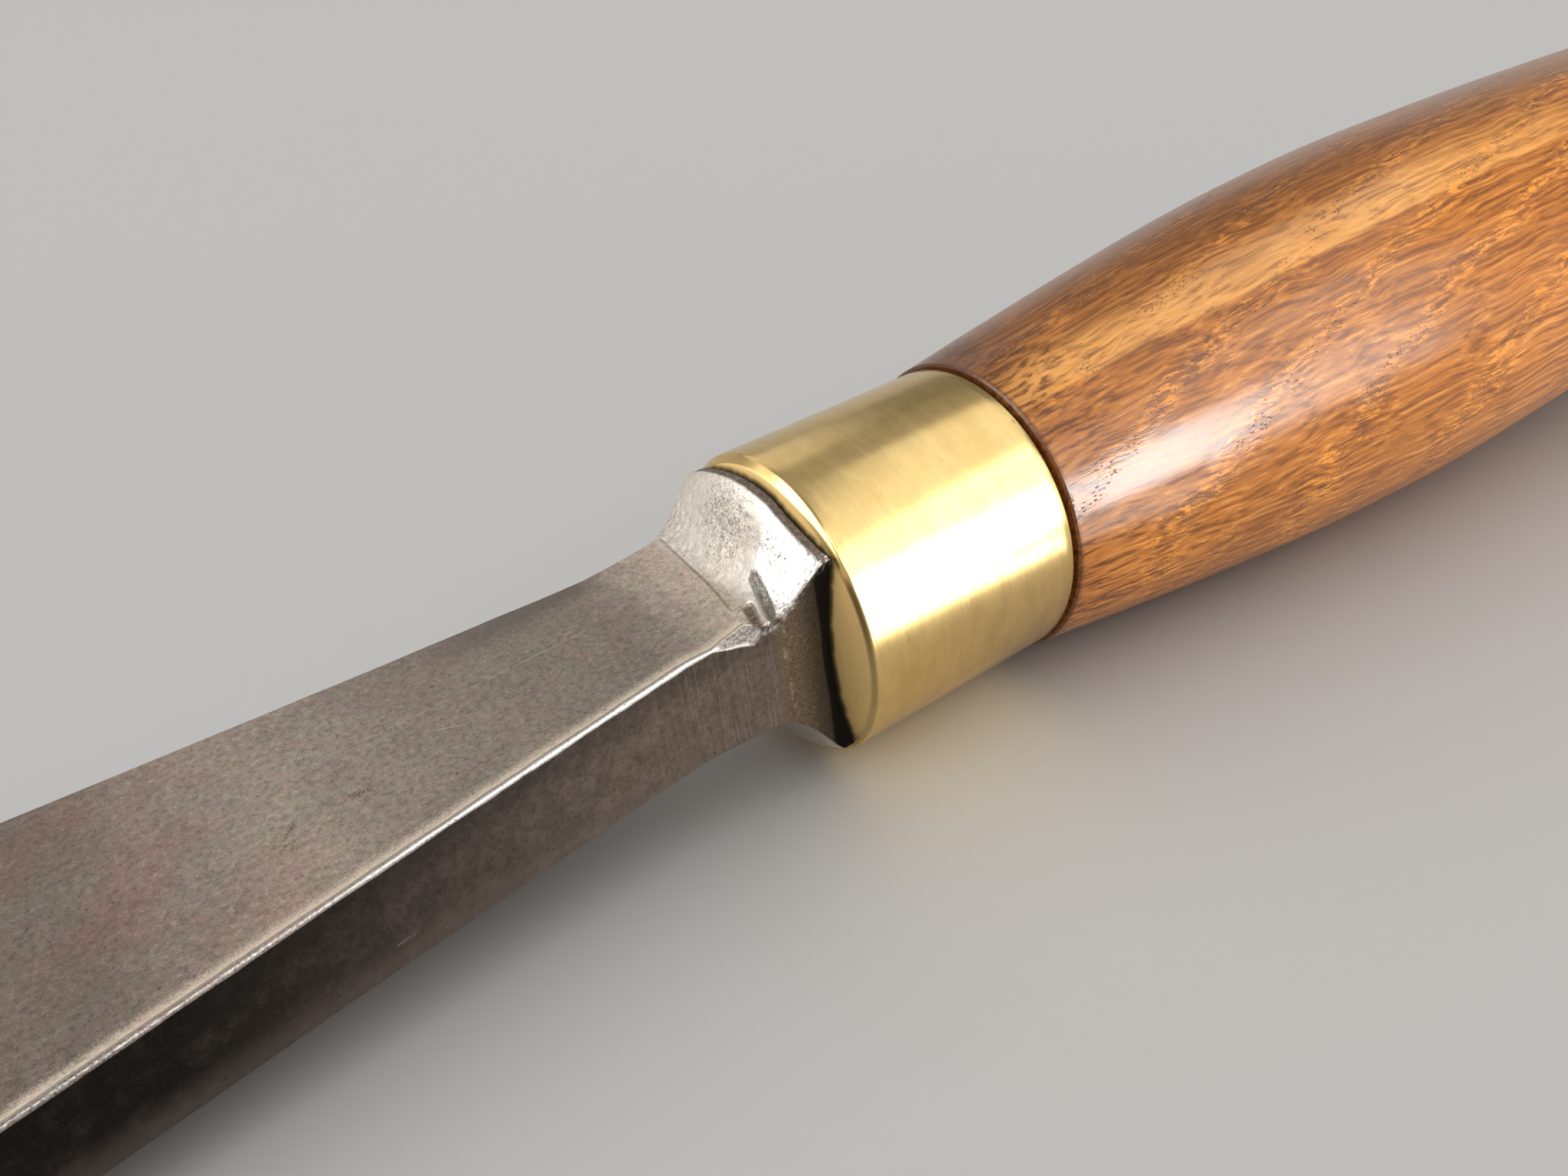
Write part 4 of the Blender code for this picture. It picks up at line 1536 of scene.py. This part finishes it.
bright_fleck = ease(fleck, 0.5, 0.64) * (early * 0.7 + 0.14)
dark_fleck = ease(fleck, 0.34, 0.47, 1.0, 0.0) * (early * 0.4 + 0.08)
slow = effect(patches, where, Size=12.0, Edge=0.2)["Mask"]
colour = layered(
    WOOD_BROWN,
    (ease(fibre, 0.38, 0.58), WOOD_ORANGE),
    (pale * ease(fibre, 0.36, 0.6, 0.38, 0.74), WOOD_GOLD),
    (ease(streak, 0.52, 0.68, 0.0, 0.4), WOOD_DARK),
    (ease(fibre, 0.34, 0.46, 0.35, 0.0), WOOD_DARK),
    (ease(fibre, 0.56, 0.68, 0.0, 0.4), WOOD_GOLD),
    (bright_fleck, WOOD_FLAME),
    (dark_fleck, WOOD_DARK),
    (slow * 0.3, WOOD_BROWN),
    (ease(along, HANDLE_AT, HANDLE_AT + 5.0, 0.4, 0.0), WOOD_BROWN),
    (ease(pale_depth, -8.0, -5.0, 0.42, 0.0), WOOD_HEART),
)
colour = scaled(colour, tone_along(along, WOOD_TONE))
scored = ease(along, HANDLE_AT, HANDLE_AT + 9.0, 0.75, 0.0) * ease(fibre, 0.4, 0.52, 1.0, 0.0)
# The top of the handle near the ferrule is darkened as painted shade.
top_joint = ease(along, HANDLE_AT, HANDLE_AT + 10.0, 0.5, 0.0) * ease(pale_depth, -5.0, -2.6, 1.0, 0.0)
seam = ease(along, HANDLE_AT + 0.2, HANDLE_AT + 0.45, 0.6, 0.0)
colour = layered(colour, (scored, WOOD_DARK), (top_joint, WOOD_DARK), (seam, WOOD_DARK))
print("wood nodes with colour:", len(tree.nodes))

# %% Wood: pores and gloss
PORE = (0.03, 0.011, 0.005, 1.0)
OIL_IOR = 1.42

open_pores = effect(fine_pits, bent, Stretch=(2.4, 5.6, 5.6), Amount=0.75)["Pits"]
few_pores = effect(fine_pits, bent, Stretch=(0.9, 6.0, 6.0), Amount=0.05)["Pits"]
pores = open_pores * ease(early, 0.4, 0.9)
pores = pores * ease(grain(where, (0.35, 0.5, 0.5), 2.0), 0.43, 0.56)
pores = maths("MAXIMUM", pores, few_pores * 0.35)
colour = blend(pores * 0.66, colour, PORE)
rough = clamped(fibre * 0.12 + 0.15 + pores * 0.25)
relief = fibre * 0.3 + fleck * early * 1.2 - pores * 0.7
dress(shader, colour, rough, relief, strength=0.5, distance=0.05)
shader.inputs["IOR"].default_value = OIL_IOR
print("wood nodes:", len(tree.nodes))

# %% Handle
HANDLE_LENGTH = 125.0
SHOULDER_RADIUS = 11.25
SHOULDER_CHAMFER = 0.14
SWELL_SETBACK = 53.0
SWELL_RADIUS = 15.8
BUTT_RADIUS = 14.2
BUTT_DOME = 12.0
BUTT_STEPS = 28
BARREL_STEPS = 110
HANDLE_WOBBLE = (0.006, 14.0)


def handle_radius(height):
    """A quarter wave up to the swell, then a slower one down to the butt."""
    if height < SWELL_SETBACK:
        return mix(SHOULDER_RADIUS, SWELL_RADIUS, math.sin(height / SWELL_SETBACK * math.pi / 2))
    share = (height - SWELL_SETBACK) / (HANDLE_LENGTH - BUTT_DOME - SWELL_SETBACK)
    return mix(BUTT_RADIUS, SWELL_RADIUS, math.cos(share * math.pi / 2))


dome_at = HANDLE_LENGTH - BUTT_DOME
spigot = bore - CLEARANCE
spigot_end = FERRULE_FRONT - FERRULE_LENGTH
dome_turns = np.linspace(0.0, math.pi / 2, BUTT_STEPS)[:-1]
dome = [(BUTT_RADIUS * math.sin(t), dome_at + BUTT_DOME * math.cos(t)) for t in dome_turns]
barrel = [(handle_radius(h), h) for h in np.linspace(dome_at, SHOULDER_CHAMFER, BARREL_STEPS)]
handle_profile = [
    *dome,
    *barrel,
    (SHOULDER_RADIUS - SHOULDER_CHAMFER / 2, SHOULDER_CHAMFER / 2),
    (SHOULDER_RADIUS - SHOULDER_CHAMFER, 0.0),
    (spigot, 0.0),
    *evenly((spigot, -0.1), (spigot, spigot_end), 6),
    (spigot, spigot_end),
    (0.0, spigot_end),
]
handle = turn_on_lathe("wood_handle", handle_profile, HANDLE_AT, *HANDLE_WOBBLE, wood)
print("handle turned:", len(handle.data.polygons), "faces")

# %% [markdown]
# The tang needs a hole to sit in. A square spike, larger than the tang by the clearance, is cut out of the
# spigot with a Boolean, as the CAD does it.

# %% Mortise
MORTISE_RELIEF = 1.5


def cut_mortise(piece):
    """Cut the tang's square hole from the spigot."""
    mouth = HANDLE_AT + spigot_end - MORTISE_RELIEF
    end = BLADE_LENGTH + TANG_LENGTH + MORTISE_RELIEF
    first, last = [(tang_half(x - BLADE_LENGTH) + CLEARANCE) * math.sqrt(2.0) for x in (mouth, end)]
    shape = bmesh.new()
    bmesh.ops.create_cone(shape, cap_ends=True, segments=4, radius1=first, radius2=last, depth=end - mouth)
    stand = Matrix.Translation(((mouth + end) / 2, 0.0, AXIS_HEIGHT)) @ Matrix.Rotation(math.pi / 2, 4, "Y")
    stand = TOOL_TO_WORLD @ stand @ Matrix.Rotation(math.pi / 4, 4, "Z")
    bmesh.ops.transform(shape, matrix=stand, verts=shape.verts)
    cutter = bpy.data.objects.new("mortise_cutter", bpy.data.meshes.new("mortise_cutter"))
    shape.to_mesh(cutter.data)
    shape.free()
    bpy.context.scene.collection.objects.link(cutter)
    modifier = piece.modifiers.new("mortise", "BOOLEAN")
    modifier.operation = "DIFFERENCE"
    modifier.object = cutter
    modifier.solver = "EXACT"
    apply_modifiers(piece)
    bpy.data.objects.remove(cutter, do_unlink=True)


cut_mortise(handle)
handle.data.set_sharp_from_angle(angle=SHARP_ANGLE)
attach(handle, "root")
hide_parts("handle")
print("handle:", len(handle.data.polygons), "faces")
